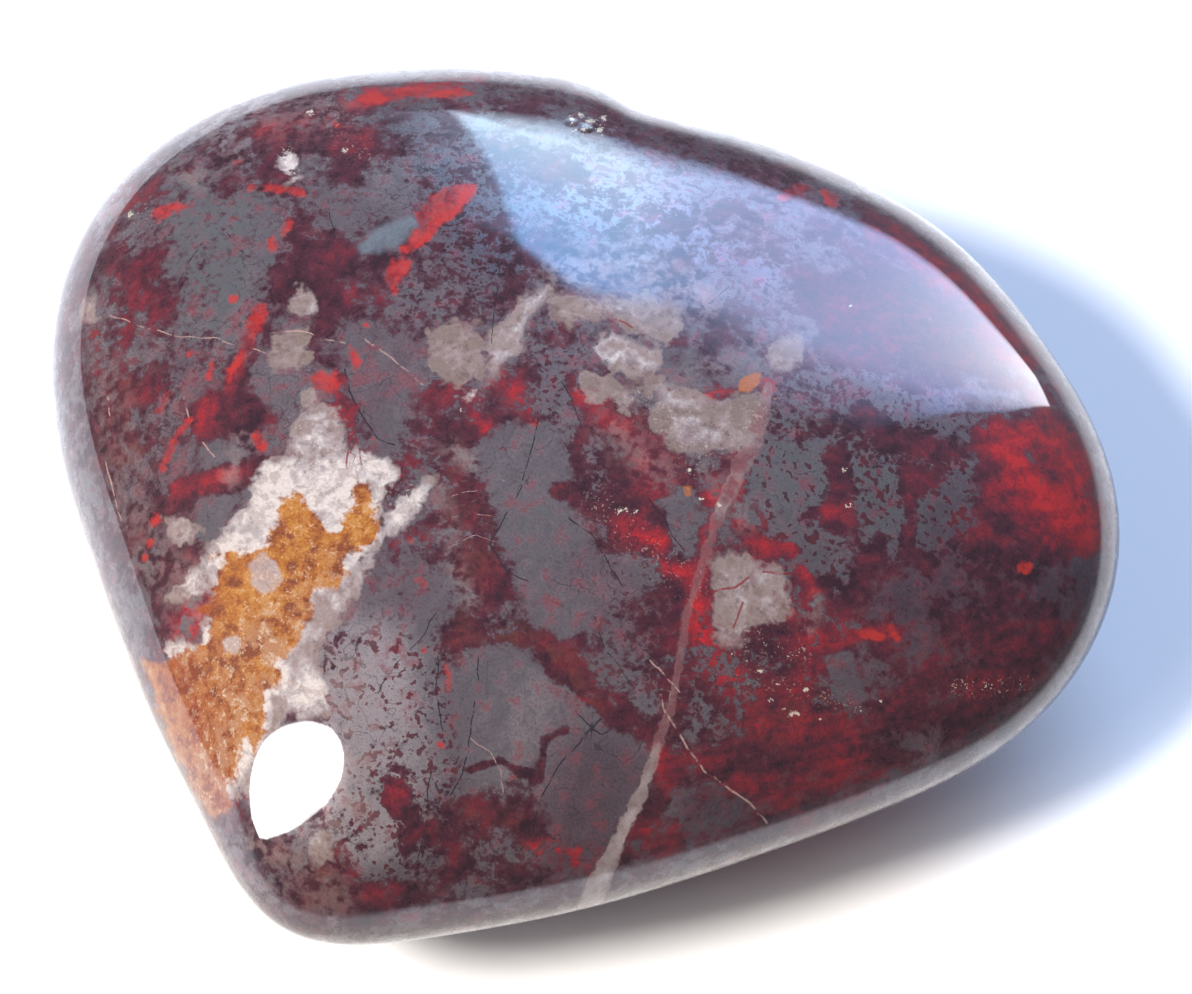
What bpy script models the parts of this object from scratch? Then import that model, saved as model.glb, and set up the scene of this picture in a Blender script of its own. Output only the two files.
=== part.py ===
# Polished jaspilite heart: a palm stone ground to a heart, domed on both faces and polished.
# It is one natural stone, so it is one solid. Metres, +Z up. The tip points to -Y, the cleft
# opens to +Y, and the stone lies on a small flat under its belly. The origin is the middle
# of its bounding box, at the height of the surface it lies on.
import math

import bmesh
import bpy
import numpy as np

MM = 0.001

# Outline seen from above, as (direction in degrees from +X, distance in mm from the crown).
# The lobe at 172 degrees is fuller than the one at 0, as in a heart that is cut by hand.
OUTLINE = (
    (0, 28.9), (18, 28.3), (36, 25.9), (54, 24.1), (74, 22.0),      # right lobe
    (96, 21.6), (118, 23.6), (136, 26.1),                           # round the cleft
    (154, 29.3), (172, 30.8), (192, 29.2),                          # left lobe
    (214, 26.8), (234, 27.2), (250, 29.4),                          # left flank
    (262, 31.4), (274, 29.1),                                       # rounded tip
    (290, 26.2), (310, 24.7), (330, 25.7), (346, 27.8),             # right flank
)
CROWN_RADIUS = 26.5         # mean radius, which the plan settles to towards the crown

CLEFT_DIRECTION = 102.0     # degrees from +X
CLEFT_DEPTH = 1.5
CLEFT_WIDTH_RIGHT = 12.0    # degrees over which the groove fades towards each lobe
CLEFT_WIDTH_LEFT = 6.0
CLEFT_FADE = 5.0            # power of the fade from the rim inwards

# Profile. The widest line of the stone is GIRTH above the surface, and each face is a dome.
GIRTH = 10.05
DOME_HEIGHT = 10.8
DOME_LIFT = 0.3             # the upper dome is this much higher than the lower one
FULLNESS = 0.10             # above 0 the shoulder is squarer than an ellipse's
FULLNESS_SWING = 0.20       # the shoulder is blunter towards FULLEST_DIRECTION, tighter opposite
FULLEST_DIRECTION = 155.0
SEAT_BLEND = 0.25           # rounding between the belly and the small flat that it rests on

SUBDIVISIONS = 5
STONE_COLOUR = (0.107, 0.054, 0.065, 1.0)
STONE_ROUGHNESS = 0.15
STONE_METALLIC = 0.15


def clear_scene():
    for item in list(bpy.data.objects):
        bpy.data.objects.remove(item, do_unlink=True)


def closed_spline(knots):
    """Smooth closed curve of radius over angle, through knots of (degrees, radius)."""
    angles = np.radians([angle for angle, radius in knots])
    radii = np.array([radius for angle, radius in knots])
    count = len(knots)
    spans = np.diff(np.append(angles, angles[0] + 2.0 * math.pi))
    slopes = (np.roll(radii, -1) - radii) / spans
    matrix = np.zeros((count, count))
    for i in range(count):
        matrix[i, i - 1] += spans[i - 1]
        matrix[i, i] += 2.0 * (spans[i - 1] + spans[i])
        matrix[i, (i + 1) % count] += spans[i]
    bends = np.linalg.solve(matrix, 6.0 * (slopes - np.roll(slopes, 1)))

    def radius_at(angle):
        turn = (angle - angles[0]) % (2.0 * math.pi) + angles[0]
        i = int(np.searchsorted(angles, turn, side="right")) - 1
        j = (i + 1) % count
        t = turn - angles[i]
        bend = bends[i] / 2.0 + t * (bends[j] - bends[i]) / (6.0 * spans[i])
        slope = slopes[i] - spans[i] * (2.0 * bends[i] + bends[j]) / 6.0
        return radii[i] + t * slope + t * t * bend

    return radius_at


def signed_degrees(angle, direction):
    """Angle in radians as degrees from a direction, between -180 and 180."""
    return (math.degrees(angle) - direction + 180.0) % 360.0 - 180.0


def cleft_groove(angle, reach):
    offset = signed_degrees(angle, CLEFT_DIRECTION)
    width = CLEFT_WIDTH_LEFT if offset > 0.0 else CLEFT_WIDTH_RIGHT
    return CLEFT_DEPTH * math.exp(-((offset / width) ** 2)) * reach ** CLEFT_FADE


def seat_on_surface(height):
    """Height with everything below the surface ground off, blended over SEAT_BLEND."""
    if height > SEAT_BLEND:
        return height
    if height < -SEAT_BLEND:
        return 0.0
    return (height + SEAT_BLEND) ** 2 / (4.0 * SEAT_BLEND)


def stone_point(direction, outline):
    """Point of the stone, in mm, for a direction of the unit sphere."""
    reach = math.hypot(direction.x, direction.y)
    angle = math.atan2(direction.y, direction.x)
    toward_rim = 1.0 - (1.0 - reach ** 2) ** 2
    radius = CROWN_RADIUS + (outline(angle) - CROWN_RADIUS) * toward_rim
    radius -= cleft_groove(angle, reach)
    turn = math.radians(signed_degrees(angle, FULLEST_DIRECTION))
    fullness = FULLNESS + FULLNESS_SWING * math.cos(turn)
    height = GIRTH + DOME_HEIGHT * direction.z * (1.0 + fullness * reach ** 2)
    height += DOME_LIFT * direction.z ** 2
    plan = radius * reach
    return plan * math.cos(angle), plan * math.sin(angle), seat_on_surface(height)


def stone_material():
    material = bpy.data.materials.new("jaspilite")
    material.use_nodes = True
    shader = material.node_tree.nodes["Principled BSDF"]
    shader.inputs["Base Color"].default_value = STONE_COLOUR
    shader.inputs["Roughness"].default_value = STONE_ROUGHNESS
    shader.inputs["Metallic"].default_value = STONE_METALLIC
    return material


def make_heart(collection):
    outline = closed_spline(OUTLINE)
    shape = bmesh.new()
    bmesh.ops.create_icosphere(shape, subdivisions=SUBDIVISIONS, radius=1.0)
    for vertex in shape.verts:
        vertex.co = stone_point(vertex.co.normalized(), outline)
    for axis in (0, 1):
        places = [vertex.co[axis] for vertex in shape.verts]
        middle = (min(places) + max(places)) / 2.0
        for vertex in shape.verts:
            vertex.co[axis] -= middle
    bmesh.ops.scale(shape, vec=(MM, MM, MM), verts=shape.verts)
    mesh = bpy.data.meshes.new("heart")
    shape.to_mesh(mesh)
    shape.free()
    mesh.shade_smooth()
    mesh.materials.append(stone_material())
    heart = bpy.data.objects.new("heart", mesh)
    collection.objects.link(heart)
    return heart


clear_scene()
stone_collection = bpy.data.collections.new("jaspilite_heart")
bpy.context.scene.collection.children.link(stone_collection)
make_heart(stone_collection)
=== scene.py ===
import math

import bmesh
import bpy
import numpy as np
from mathutils import Matrix, Vector


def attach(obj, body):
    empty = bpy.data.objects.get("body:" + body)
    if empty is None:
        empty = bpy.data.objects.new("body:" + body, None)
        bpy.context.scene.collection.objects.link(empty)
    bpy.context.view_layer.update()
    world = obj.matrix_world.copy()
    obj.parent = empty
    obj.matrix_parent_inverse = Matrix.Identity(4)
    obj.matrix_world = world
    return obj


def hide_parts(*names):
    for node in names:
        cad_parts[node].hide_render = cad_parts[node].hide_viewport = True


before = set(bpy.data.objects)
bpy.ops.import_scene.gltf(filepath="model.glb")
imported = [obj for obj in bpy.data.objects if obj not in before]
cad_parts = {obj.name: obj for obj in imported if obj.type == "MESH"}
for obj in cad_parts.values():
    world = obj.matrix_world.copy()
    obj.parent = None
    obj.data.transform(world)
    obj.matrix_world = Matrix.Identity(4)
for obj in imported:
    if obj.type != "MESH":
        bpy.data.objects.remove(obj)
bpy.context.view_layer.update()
mm = 0.001

# view of the photograph
photoView = {
    "azimuth": 21.4,                # degrees round the stone, from the side of its tip
    "elevation": 60.0,              # degrees above the table
    "distance": 350.0,              # mm from the lens to the aim point
    "aim": (1.65, 4.37, 7.99),      # mm
    "pixelsPerMm": 18.6,            # at the aim point
    "pixelSize": (1192, 994),
    "sensorWidth": 36.0,
}


def viewAxes():
    a, e = math.radians(photoView["azimuth"]), math.radians(photoView["elevation"])
    right = Vector((math.cos(a), math.sin(a), 0.0))
    back = Vector((math.sin(a) * math.cos(e), -math.cos(a) * math.cos(e), math.sin(e)))
    return right, back.cross(right), back


def makeCamera():
    right, up, back = viewAxes()
    data = bpy.data.cameras.new("photoCamera")
    data.sensor_width = photoView["sensorWidth"]
    focalPixels = photoView["pixelsPerMm"] * photoView["distance"]
    data.lens = focalPixels / photoView["pixelSize"][0] * photoView["sensorWidth"]
    data.clip_start = 0.01
    camera = bpy.data.objects.new("photoCamera", data)
    place = Matrix((right, up, back)).transposed().to_4x4()
    place.translation = (Vector(photoView["aim"]) + back * photoView["distance"]) * mm
    camera.matrix_world = place
    bpy.context.scene.collection.objects.link(camera)
    bpy.context.scene.camera = camera


def toPixels(points):
    # where points of the stone, in mm, fall in the photograph
    right, up, back = (np.array(axis) for axis in viewAxes())
    lens = np.array(photoView["aim"]) + back * photoView["distance"]
    offset = points - lens
    focalPixels = photoView["pixelsPerMm"] * photoView["distance"]
    depth = -(offset @ back)
    across = photoView["pixelSize"][0] / 2 + focalPixels * (offset @ right) / depth
    down = photoView["pixelSize"][1] / 2 - focalPixels * (offset @ up) / depth
    return across, down, lens


# shape
heartShape = {
    # outline from above: degrees from +X, mm from the crown
    "outline": (
        (0, 28.9), (18, 28.3), (36, 25.9), (54, 24.1), (74, 22.0), (96, 21.6), (118, 23.6),
        (136, 26.1), (154, 29.3), (172, 30.8), (192, 29.2), (214, 26.8), (234, 27.2),
        (250, 29.4), (262, 31.4), (274, 29.1), (290, 26.2), (310, 24.7), (330, 25.7), (346, 27.8),
    ),
    "crownRadius": 26.5,
    "cleftDirection": 102.0,
    "cleftDepth": 1.5,
    "cleftWidths": (12.0, 6.0),     # degrees, towards the right and the left lobe
    "cleftFade": 5.0,
    "girth": 10.05,                 # mm above the table
    "domeHeight": 10.8,
    "domeLift": 0.3,
    "fullness": 0.10,
    "fullnessSwing": 0.20,
    "fullestDirection": 155.0,
    "seatBlend": 0.25,
    "fineness": 7,                  # icosphere steps
    "finerAbove": 0.13,             # the upper face is divided once more
}

# flatter places that the hand polish left: pixels across and down, reach in mm, share of the curve gone
polishedFlats = [(300, 784, 5.2, 0.5)]

# open pits that the polish left: pixels across and down, radius and depth in mm
surfacePits = [
    (571, 122, 0.25, 0.04), (585, 128, 0.3, 0.05), (601, 124, 0.25, 0.04), (610, 131, 0.2, 0.03),
    (289, 163, 0.4, 0.05), (283, 155, 0.25, 0.04), (966, 687, 0.3, 0.08), (978, 682, 0.3, 0.10),
    (992, 688, 0.35, 0.10), (1008, 682, 0.3, 0.09), (1022, 690, 0.25, 0.07), (793, 712, 0.25, 0.06),
    (624, 511, 0.2, 0.05), (612, 511, 0.15, 0.04), (866, 708, 0.2, 0.05), (150, 238, 0.2, 0.04),
    (344, 151, 0.15, 0.04), (463, 408, 0.2, 0.05), (312, 113, 0.2, 0.04), (455, 388, 0.15, 0.04),
]


def outlineRadius(angle):
    # smooth closed curve through the outline's points
    knots = np.array(heartShape["outline"], float)
    angles, radii = np.radians(knots[:, 0]), knots[:, 1]
    count = len(knots)
    spans = np.diff(np.append(angles, angles[0] + 2 * math.pi))
    slopes = (np.roll(radii, -1) - radii) / spans
    matrix = np.zeros((count, count))
    for i in range(count):
        matrix[i, i - 1] += spans[i - 1]
        matrix[i, i] += 2 * (spans[i - 1] + spans[i])
        matrix[i, (i + 1) % count] += spans[i]
    bends = np.linalg.solve(matrix, 6 * (slopes - np.roll(slopes, 1)))
    turn = (angle - angles[0]) % (2 * math.pi) + angles[0]
    i = np.searchsorted(angles, turn, side="right") - 1
    j = (i + 1) % count
    t = turn - angles[i]
    bend = bends[i] / 2 + t * (bends[j] - bends[i]) / (6 * spans[i])
    slope = slopes[i] - spans[i] * (2 * bends[i] + bends[j]) / 6
    return radii[i] + t * slope + t * t * bend


def degreesFrom(angle, direction):
    return (np.degrees(angle) - direction + 180) % 360 - 180


def stonePoints(directions):
    # points of the stone in mm, for directions of the unit sphere
    shape = heartShape
    reach = np.hypot(directions[:, 0], directions[:, 1])
    angle = np.arctan2(directions[:, 1], directions[:, 0])
    towardRim = 1 - (1 - reach ** 2) ** 2
    radius = shape["crownRadius"] + (outlineRadius(angle) - shape["crownRadius"]) * towardRim
    offset = degreesFrom(angle, shape["cleftDirection"])
    width = np.where(offset > 0, shape["cleftWidths"][1], shape["cleftWidths"][0])
    radius -= shape["cleftDepth"] * np.exp(-(offset / width) ** 2) * reach ** shape["cleftFade"]
    swing = np.cos(np.radians(degreesFrom(angle, shape["fullestDirection"])))
    fullness = shape["fullness"] + shape["fullnessSwing"] * swing
    z = directions[:, 2]
    height = shape["girth"] + shape["domeHeight"] * z * (1 + fullness * reach ** 2)
    height += shape["domeLift"] * z ** 2
    soft = shape["seatBlend"]
    ground = np.where(height < -soft, 0, (height + soft) ** 2 / (4 * soft))
    height = np.where(height > soft, height, ground)
    plan = radius * reach
    return np.stack((plan * np.cos(angle), plan * np.sin(angle), height), axis=1)


def makeStoneMesh():
    ball = bmesh.new()
    bmesh.ops.create_icosphere(ball, subdivisions=heartShape["fineness"], radius=1.0)
    line = heartShape["finerAbove"]
    upper = [e for e in ball.edges if min(e.verts[0].co.z, e.verts[1].co.z) > line]
    bmesh.ops.subdivide_edges(ball, edges=upper, cuts=1, use_grid_fill=True)
    bmesh.ops.triangulate(ball, faces=[f for f in ball.faces if len(f.verts) > 3])
    mesh = bpy.data.meshes.new("heartSurface")
    ball.to_mesh(mesh)
    ball.free()
    directions = np.empty(len(mesh.vertices) * 3)
    mesh.vertices.foreach_get("co", directions)
    directions = directions.reshape(-1, 3)
    directions /= np.linalg.norm(directions, axis=1)[:, None]
    points = stonePoints(directions)
    middle = (points.min(axis=0) + points.max(axis=0)) / 2
    points[:, :2] -= middle[:2]
    mesh.vertices.foreach_set("co", points.ravel())
    mesh.update()
    normals = np.empty(len(points) * 3)
    mesh.vertices.foreach_get("normal", normals)
    print("stone mesh:", len(mesh.vertices), "points,", len(mesh.polygons), "triangles")
    return mesh, points, normals.reshape(-1, 3)


# how the rock is grained, and how far its marks reach; sizes and reaches in mm
rockGrain = {
    "warpSize": 1.9,
    "warpReach": 0.12,
    "cloudSize": 5.5,
    "oreSize": 2.4,
    "facetSize": 1.1,
    "streakSize": 0.9,
    # streaks of the left and the right lobe: degrees below level, how much longer than wide, seed
    "streaks": ((-62, 5.0, 51), (-8, 6.0, 61)),
    "streakChange": (480, 720),     # pixels across, where the right lobe's streaks take over
    "lineWander": (0.9, 0.07),      # size and reach of the wander of the thin lines
    "undersideSway": (5.0, 1.2),    # size and reach, so that no edge there is straight
    "plainRed": 0.25,               # redness and metal shine where nothing is painted
    "plainShine": 0.18,
    "carveLimit": 2.0,              # how far from its edge a sharp mark is measured
    "shownFrom": (0.02, 0.22),      # marks fade in from the rim: cosine of the angle to the lens
    "undersideFrom": (-0.15, -0.45),    # and from there down: how far the surface faces down
}


# where the markings lie
class Canvas:
    # the stone's points as flat places: in the photograph's pixels, or in plan mm from below
    def __init__(self, across, down, shown, pixelsPerMm):
        self.across, self.down, self.shown = across, down, shown
        self.scale = pixelsPerMm

    def near(self, line, limit, least):
        # numbers of the points near a line that are shown more than the least share
        low, high = line.min(axis=0) - limit * self.scale, line.max(axis=0) + limit * self.scale
        return np.flatnonzero((self.shown > least) & (self.across > low[0]) & (self.across < high[0])
                              & (self.down > low[1]) & (self.down < high[1]))

    def distance(self, line, closed, limit):
        # mm to a line, or signed mm to the edge of a closed outline, and never over the limit
        line = np.array(line, float)
        near = self.near(line, limit, 0)
        result = np.full(len(self.across), limit)
        x, y = self.across[near], self.down[near]
        best = np.full(len(near), limit * self.scale)
        inside = np.zeros(len(near), bool)
        ends = np.roll(line, -1, axis=0) if closed else line[1:]
        for (ax, ay), (bx, by) in zip(line, ends):
            length = max((bx - ax) ** 2 + (by - ay) ** 2, 1e-9)
            t = np.clip(((x - ax) * (bx - ax) + (y - ay) * (by - ay)) / length, 0, 1)
            best = np.minimum(best, np.hypot(x - ax - t * (bx - ax), y - ay - t * (by - ay)))
            if closed and ay != by:
                crossing = (ay > y) != (by > y)
                inside ^= crossing & (x < ax + (bx - ax) * (y - ay) / (by - ay))
        best = np.where(inside, -best, best) / self.scale
        result[near] = limit + (best - limit) * self.shown[near]
        return result

    def side(self, line, limit):
        # signed mm to the side of an open line, with nearness 1 to 0 at the limit
        line = np.array(line, float)
        near = self.near(line, limit, 0.05)
        x, y = self.across[near], self.down[near]
        best = np.full(len(near), 1e9)
        signed = np.full(len(near), limit)
        past = np.zeros(len(near))
        count = len(line) - 1
        for i, ((ax, ay), (bx, by)) in enumerate(zip(line, line[1:])):
            length = max(math.hypot(bx - ax, by - ay), 1e-9)
            along = ((x - ax) * (bx - ax) + (y - ay) * (by - ay)) / length
            t = np.clip(along, 0, length)
            gap = np.hypot(x - ax - t * (bx - ax) / length, y - ay - t * (by - ay) / length)
            turn = ((bx - ax) * (y - ay) - (by - ay) * (x - ax)) / length
            closer = gap < best
            best = np.where(closer, gap, best)
            signed = np.where(closer, turn, signed)
            over = np.zeros(len(near))
            if i == 0:
                over = np.maximum(over, -along)
            if i == count - 1:
                over = np.maximum(over, along - length)
            past = np.where(closer, over, past)
        return near, signed / self.scale, best / self.scale, past / self.scale


def smoothStep(low, high, value):
    t = np.clip((value - low) / (high - low), 0, 1)
    return t * t * (3 - 2 * t)


def dot(x, y):
    # a line one pixel long, for round marks
    return [(x, y), (x + 1, y)]


def brush(field, canvas, outline, value, soft, closed=True, radius=0.0):
    # soft patch or broad stroke: the field goes to the value
    gap = canvas.distance(outline, closed, radius + soft + 0.2) - radius
    weight = smoothStep(soft, -soft, gap)
    field += (value - field) * weight


def carve(field, canvas, outline, closed=True, radius=0.0, limit=2.0):
    # sharp shape: the field keeps the mm to its edge, negative inside
    np.minimum(field, canvas.distance(outline, closed, limit + radius) - radius, out=field)


def drawLines(canvas, lines, wander, limit=0.6):
    # thin lines: signed side distance, nearness and half width for each point
    drawn = np.zeros((len(wander), 3))
    drawn[:, 0] = limit
    gapSoFar = np.full(len(wander), 1e9)
    for line in lines:
        points, width = line[:-1], line[-1]
        near, signed, gap, past = canvas.side(points, limit)
        keep = gap < gapSoFar[near]
        chosen = near[keep]
        gapSoFar[chosen] = gap[keep]
        drawn[chosen, 0] = signed[keep] + wander[chosen]
        fade = smoothStep(limit, limit * 0.6, gap[keep]) * smoothStep(0.25, 0.0, past[keep])
        drawn[chosen, 1] = fade * canvas.shown[chosen]
        drawn[chosen, 2] = width
    return drawn


def latticeNoise(places, seed):
    # gradient noise, about -0.8 to 0.8
    random = np.random.RandomState(seed)
    gradients = random.normal(size=(256, 3))
    gradients /= np.linalg.norm(gradients, axis=1)[:, None]
    shuffle = random.permutation(256)
    cell = np.floor(places).astype(int)
    part = places - cell
    ease = part ** 3 * (part * (part * 6 - 15) + 10)
    total = np.zeros(len(places))
    for corner in ((0, 0, 0), (1, 0, 0), (0, 1, 0), (1, 1, 0), (0, 0, 1), (1, 0, 1), (0, 1, 1), (1, 1, 1)):
        pick = np.zeros(len(places), int)
        weight = np.ones(len(places))
        for axis in range(3):
            pick = shuffle[(pick + cell[:, axis] + corner[axis]) % 256]
            weight *= ease[:, axis] if corner[axis] else 1 - ease[:, axis]
        total += weight * np.sum(gradients[pick] * (part - corner), axis=1)
    return total


def stoneNoise(places, size, octaves, roughness, seed):
    # rough noise with lumps of this size in mm, mostly between -1 and 1
    total, height, most = 0, 1.0, 0
    for octave in range(octaves):
        total = total + latticeNoise(places * (2 ** octave / size) + octave * 7.3, seed + octave) * height
        most += height ** 2
        height *= roughness
    return total * 2.2 / math.sqrt(most)


def stoneGrains(places, size, seed):
    # random tone, -0.5 to 0.5, of the nearest grain of this size in mm, and mm to its border
    random = np.random.RandomState(seed)
    grains = random.rand(4096, 4)
    first, second, third = 73856093, 19349663, 83492791     # large primes, which scatter the cells
    cell = np.floor(places / size).astype(int)
    nearest, nextNearest = np.full(len(places), 1e9), np.full(len(places), 1e9)
    tone = np.zeros(len(places))
    for step in np.ndindex(3, 3, 3):
        spot = cell + np.array(step) - 1
        pick = (spot[:, 0] * first ^ spot[:, 1] * second ^ spot[:, 2] * third) % len(grains)
        gap = np.linalg.norm(places - (spot + grains[pick, :3]) * size, axis=1)
        nextNearest = np.minimum(nextNearest, np.maximum(gap, nearest))
        tone = np.where(gap < nearest, grains[pick, 3] - 0.5, tone)
        nearest = np.minimum(nearest, gap)
    return tone, (nextNearest - nearest) / 2


def stoneStreaks(canvas, heights):
    # long soft streaks of the jasper: steep in the left lobe, nearly level in the right one
    x, y = canvas.across / canvas.scale, canvas.down / canvas.scale
    layers = []
    for degrees, stretch, seed in rockGrain["streaks"]:
        c, s = math.cos(math.radians(degrees)), math.sin(math.radians(degrees))
        places = np.stack(((x * c + y * s) / stretch, y * c - x * s, heights), axis=1)
        layers.append(stoneNoise(places, rockGrain["streakSize"], 3, 0.6, seed))
    right = smoothStep(*rockGrain["streakChange"], canvas.across)
    return layers[0] + (layers[1] - layers[0]) * right


# cover of grey iron ore: outline in pixels, cover -1 to 1, grain 0 broad to 1 speckled, edge mm
ironZones = [
    ([(100, 160), (230, 110), (330, 130), (410, 150), (440, 240), (400, 330), (420, 430),
      (330, 440), (230, 480), (150, 560), (100, 480), (75, 330)], -0.1, 0.4, 2.5),
    ([(165, 190), (235, 195), (300, 200), (320, 190), (325, 235), (280, 235), (262, 290),
      (235, 345), (190, 345), (165, 300), (180, 250), (150, 225)], 0.5, 0.45, 0.9),
    ([(330, 190), (400, 165), (420, 190), (400, 225), (350, 245), (325, 225)], 0.6, 0.4, 0.8),
    ([(95, 240), (160, 240), (165, 330), (100, 340)], -0.25, 0.4, 1.4),
    ([(236, 108), (300, 98), (365, 100), (372, 148), (330, 158), (290, 148), (245, 150)], -0.4, 0.4, 0.9),
    ([(234, 120), (258, 112), (262, 148), (236, 150)], 0.1, 0.2, 0.3),
    ([(290, 225), (345, 235), (352, 250), (350, 310), (318, 315), (296, 290), (278, 300), (272, 270)],
     -0.45, 0.7, 0.6),
    ([(352, 262), (395, 300), (392, 325), (350, 322)], -0.3, 0.5, 0.6),
    ([(120, 352), (240, 350), (225, 450), (165, 470), (120, 430)], -0.05, 0.6, 1.2),
    ([(192, 385), (238, 372), (232, 430), (205, 440)], -0.55, 0.2, 0.8),
    ([(252, 370), (330, 372), (332, 398), (258, 400)], 0.9, 0.1, 0.5),
    ([(170, 450), (220, 440), (240, 455), (232, 462), (190, 480), (172, 478)], 0.8, 0.1, 0.5),
    ([(170, 485), (262, 455), (250, 485), (200, 495), (175, 510)], -0.9, 0.6, 0.4),
    ([(196, 500), (250, 490), (262, 505), (225, 540), (198, 545)], 0.85, 0.1, 0.4),
    ([(90, 355), (130, 350), (150, 460), (160, 560), (120, 560), (95, 460)], -0.25, 0.5, 0.9),
    ([(160, 560), (190, 505), (198, 545), (185, 600), (165, 600)], -0.6, 0.5, 0.5),
    ([(345, 330), (420, 330), (425, 385), (395, 440), (350, 400)], 0.65, 0.15, 0.8),
    ([(390, 440), (440, 410), (470, 440), (440, 480), (400, 470)], -0.2, 0.7, 0.8),
    ([(430, 110), (500, 105), (530, 190), (525, 270), (470, 300), (430, 250)], 0.05, 1.0, 1.4),
    ([(395, 125), (430, 120), (460, 160), (440, 180), (400, 160)], 0.45, 0.6, 0.8),
    ([(400, 260), (470, 300), (440, 330), (385, 325)], 0.0, 0.8, 1.2),
    ([(420, 390), (520, 370), (530, 330), (560, 340), (540, 400), (470, 450), (430, 440)], -0.35, 0.6, 0.9),
    ([(535, 345), (578, 350), (582, 440), (560, 470), (540, 440), (532, 400)], 0.35, 0.9, 0.7),
    ([(500, 430), (560, 430), (575, 520), (602, 560), (622, 620), (560, 640), (520, 590),
      (490, 560), (500, 510), (480, 450)], 1.0, 0.1, 0.6),
    ([(600, 500), (640, 540), (690, 580), (690, 660), (650, 740), (600, 700), (600, 600)], 0.3, 0.7, 1.0),
    ([(645, 500), (680, 495), (702, 520), (690, 552), (660, 542)], 0.8, 0.4, 0.4),
    ([(340, 540), (430, 545), (440, 600), (440, 640), (380, 650), (330, 640)], 0.6, 0.4, 0.9),
    ([(330, 640), (440, 640), (470, 720), (440, 860), (330, 850), (330, 760)], 0.55, 1.0, 1.2),
    ([(340, 650), (400, 640), (430, 680), (420, 760), (370, 760), (345, 710)], 0.85, 0.95, 0.8),
    ([(455, 660), (475, 640), (530, 645), (555, 690), (560, 740), (500, 780), (470, 790), (452, 720)],
     1.0, 0.1, 0.5),
    ([(560, 700), (600, 715), (655, 750), (640, 790), (600, 850), (545, 830), (540, 770)], 0.95, 0.1, 0.6),
    ([(455, 790), (520, 800), (525, 860), (460, 870)], -0.45, 0.6, 0.7),
    ([(385, 770), (430, 790), (440, 850), (400, 860)], -0.1, 0.9, 0.7),
    ([(580, 395), (640, 405), (680, 440), (695, 480), (650, 505), (600, 500), (575, 450)], -0.5, 0.7, 0.6),
    ([(606, 500), (668, 510), (672, 555), (612, 552)], -0.9, 0.4, 0.4),
    ([(655, 555), (712, 560), (718, 650), (690, 640)], -0.8, 0.5, 0.4),
    ([(640, 610), (850, 600), (850, 750), (660, 740)], -0.45, 0.8, 1.6),
    ([(680, 650), (760, 650), (740, 760), (680, 740)], 0.05, 0.9, 0.8),
    ([(750, 420), (980, 430), (985, 560), (900, 600), (780, 600), (745, 520)], -0.2, 0.9, 1.2),
    ([(756, 440), (828, 442), (838, 500), (800, 512), (772, 540), (750, 520), (745, 470)], 0.62, 0.85, 0.5),
    ([(752, 500), (800, 525), (850, 540), (850, 585), (800, 572), (762, 545)], 0.55, 0.9, 0.5),
    ([(848, 448), (905, 455), (915, 510), (895, 565), (868, 540), (850, 500)], 0.5, 1.0, 0.5),
    ([(920, 500), (945, 480), (975, 455), (980, 490), (988, 530), (960, 520), (945, 545), (914, 548)],
     0.55, 0.9, 0.4),
    ([(880, 570), (960, 560), (960, 610), (900, 620), (870, 600)], 0.35, 0.3, 1.0),
    ([(980, 430), (1085, 420), (1110, 560), (1060, 600), (1000, 560), (975, 510)], -1.0, 0.2, 1.0),
    ([(870, 600), (1080, 600), (1040, 720), (860, 770)], -0.6, 0.3, 1.6),
    ([(860, 560), (940, 580), (960, 650), (900, 660), (860, 620)], 0.15, 0.4, 1.4),
    ([(820, 655), (850, 650), (862, 700), (845, 705)], 0.7, 0.3, 0.3),
    ([(560, 130), (760, 170), (780, 200), (700, 190), (560, 170)], 0.15, 0.9, 1.0),
    ([(700, 225), (760, 240), (790, 270), (770, 300), (700, 290), (680, 250)], 0.3, 0.7, 0.6),
    ([(560, 180), (690, 190), (700, 230), (600, 240), (550, 230)], 0.0, 0.9, 1.0),
    ([(660, 345), (760, 350), (770, 380), (700, 390), (660, 372)], 0.9, 0.2, 0.5),
    ([(770, 360), (860, 360), (960, 400), (960, 440), (850, 420), (770, 410)], 0.35, 0.9, 1.0),
    ([(800, 270), (900, 270), (1000, 330), (1040, 400), (900, 375), (820, 350)], -1.0, 0.2, 1.2),
    ([(700, 740), (900, 740), (860, 830), (700, 850)], -0.55, 0.2, 1.2),
    ([(672, 790), (755, 780), (745, 825), (680, 838)], 0.4, 0.3, 0.7),
    ([(1034, 560), (1100, 555), (1100, 610), (1060, 625)], 0.35, 0.2, 0.8),
    ([(250, 830), (400, 860), (420, 920), (300, 920)], -0.25, 0.6, 1.2),
    ([(440, 800), (520, 815), (530, 880), (440, 890)], -0.35, 0.7, 1.0),
    ([(345, 800), (400, 850), (420, 880), (360, 880)], 0.4, 0.9, 0.8),
    ([(385, 785), (402, 780), (412, 795), (408, 812), (392, 815), (383, 802)], -1.0, 0.1, 0.3),
]
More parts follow.
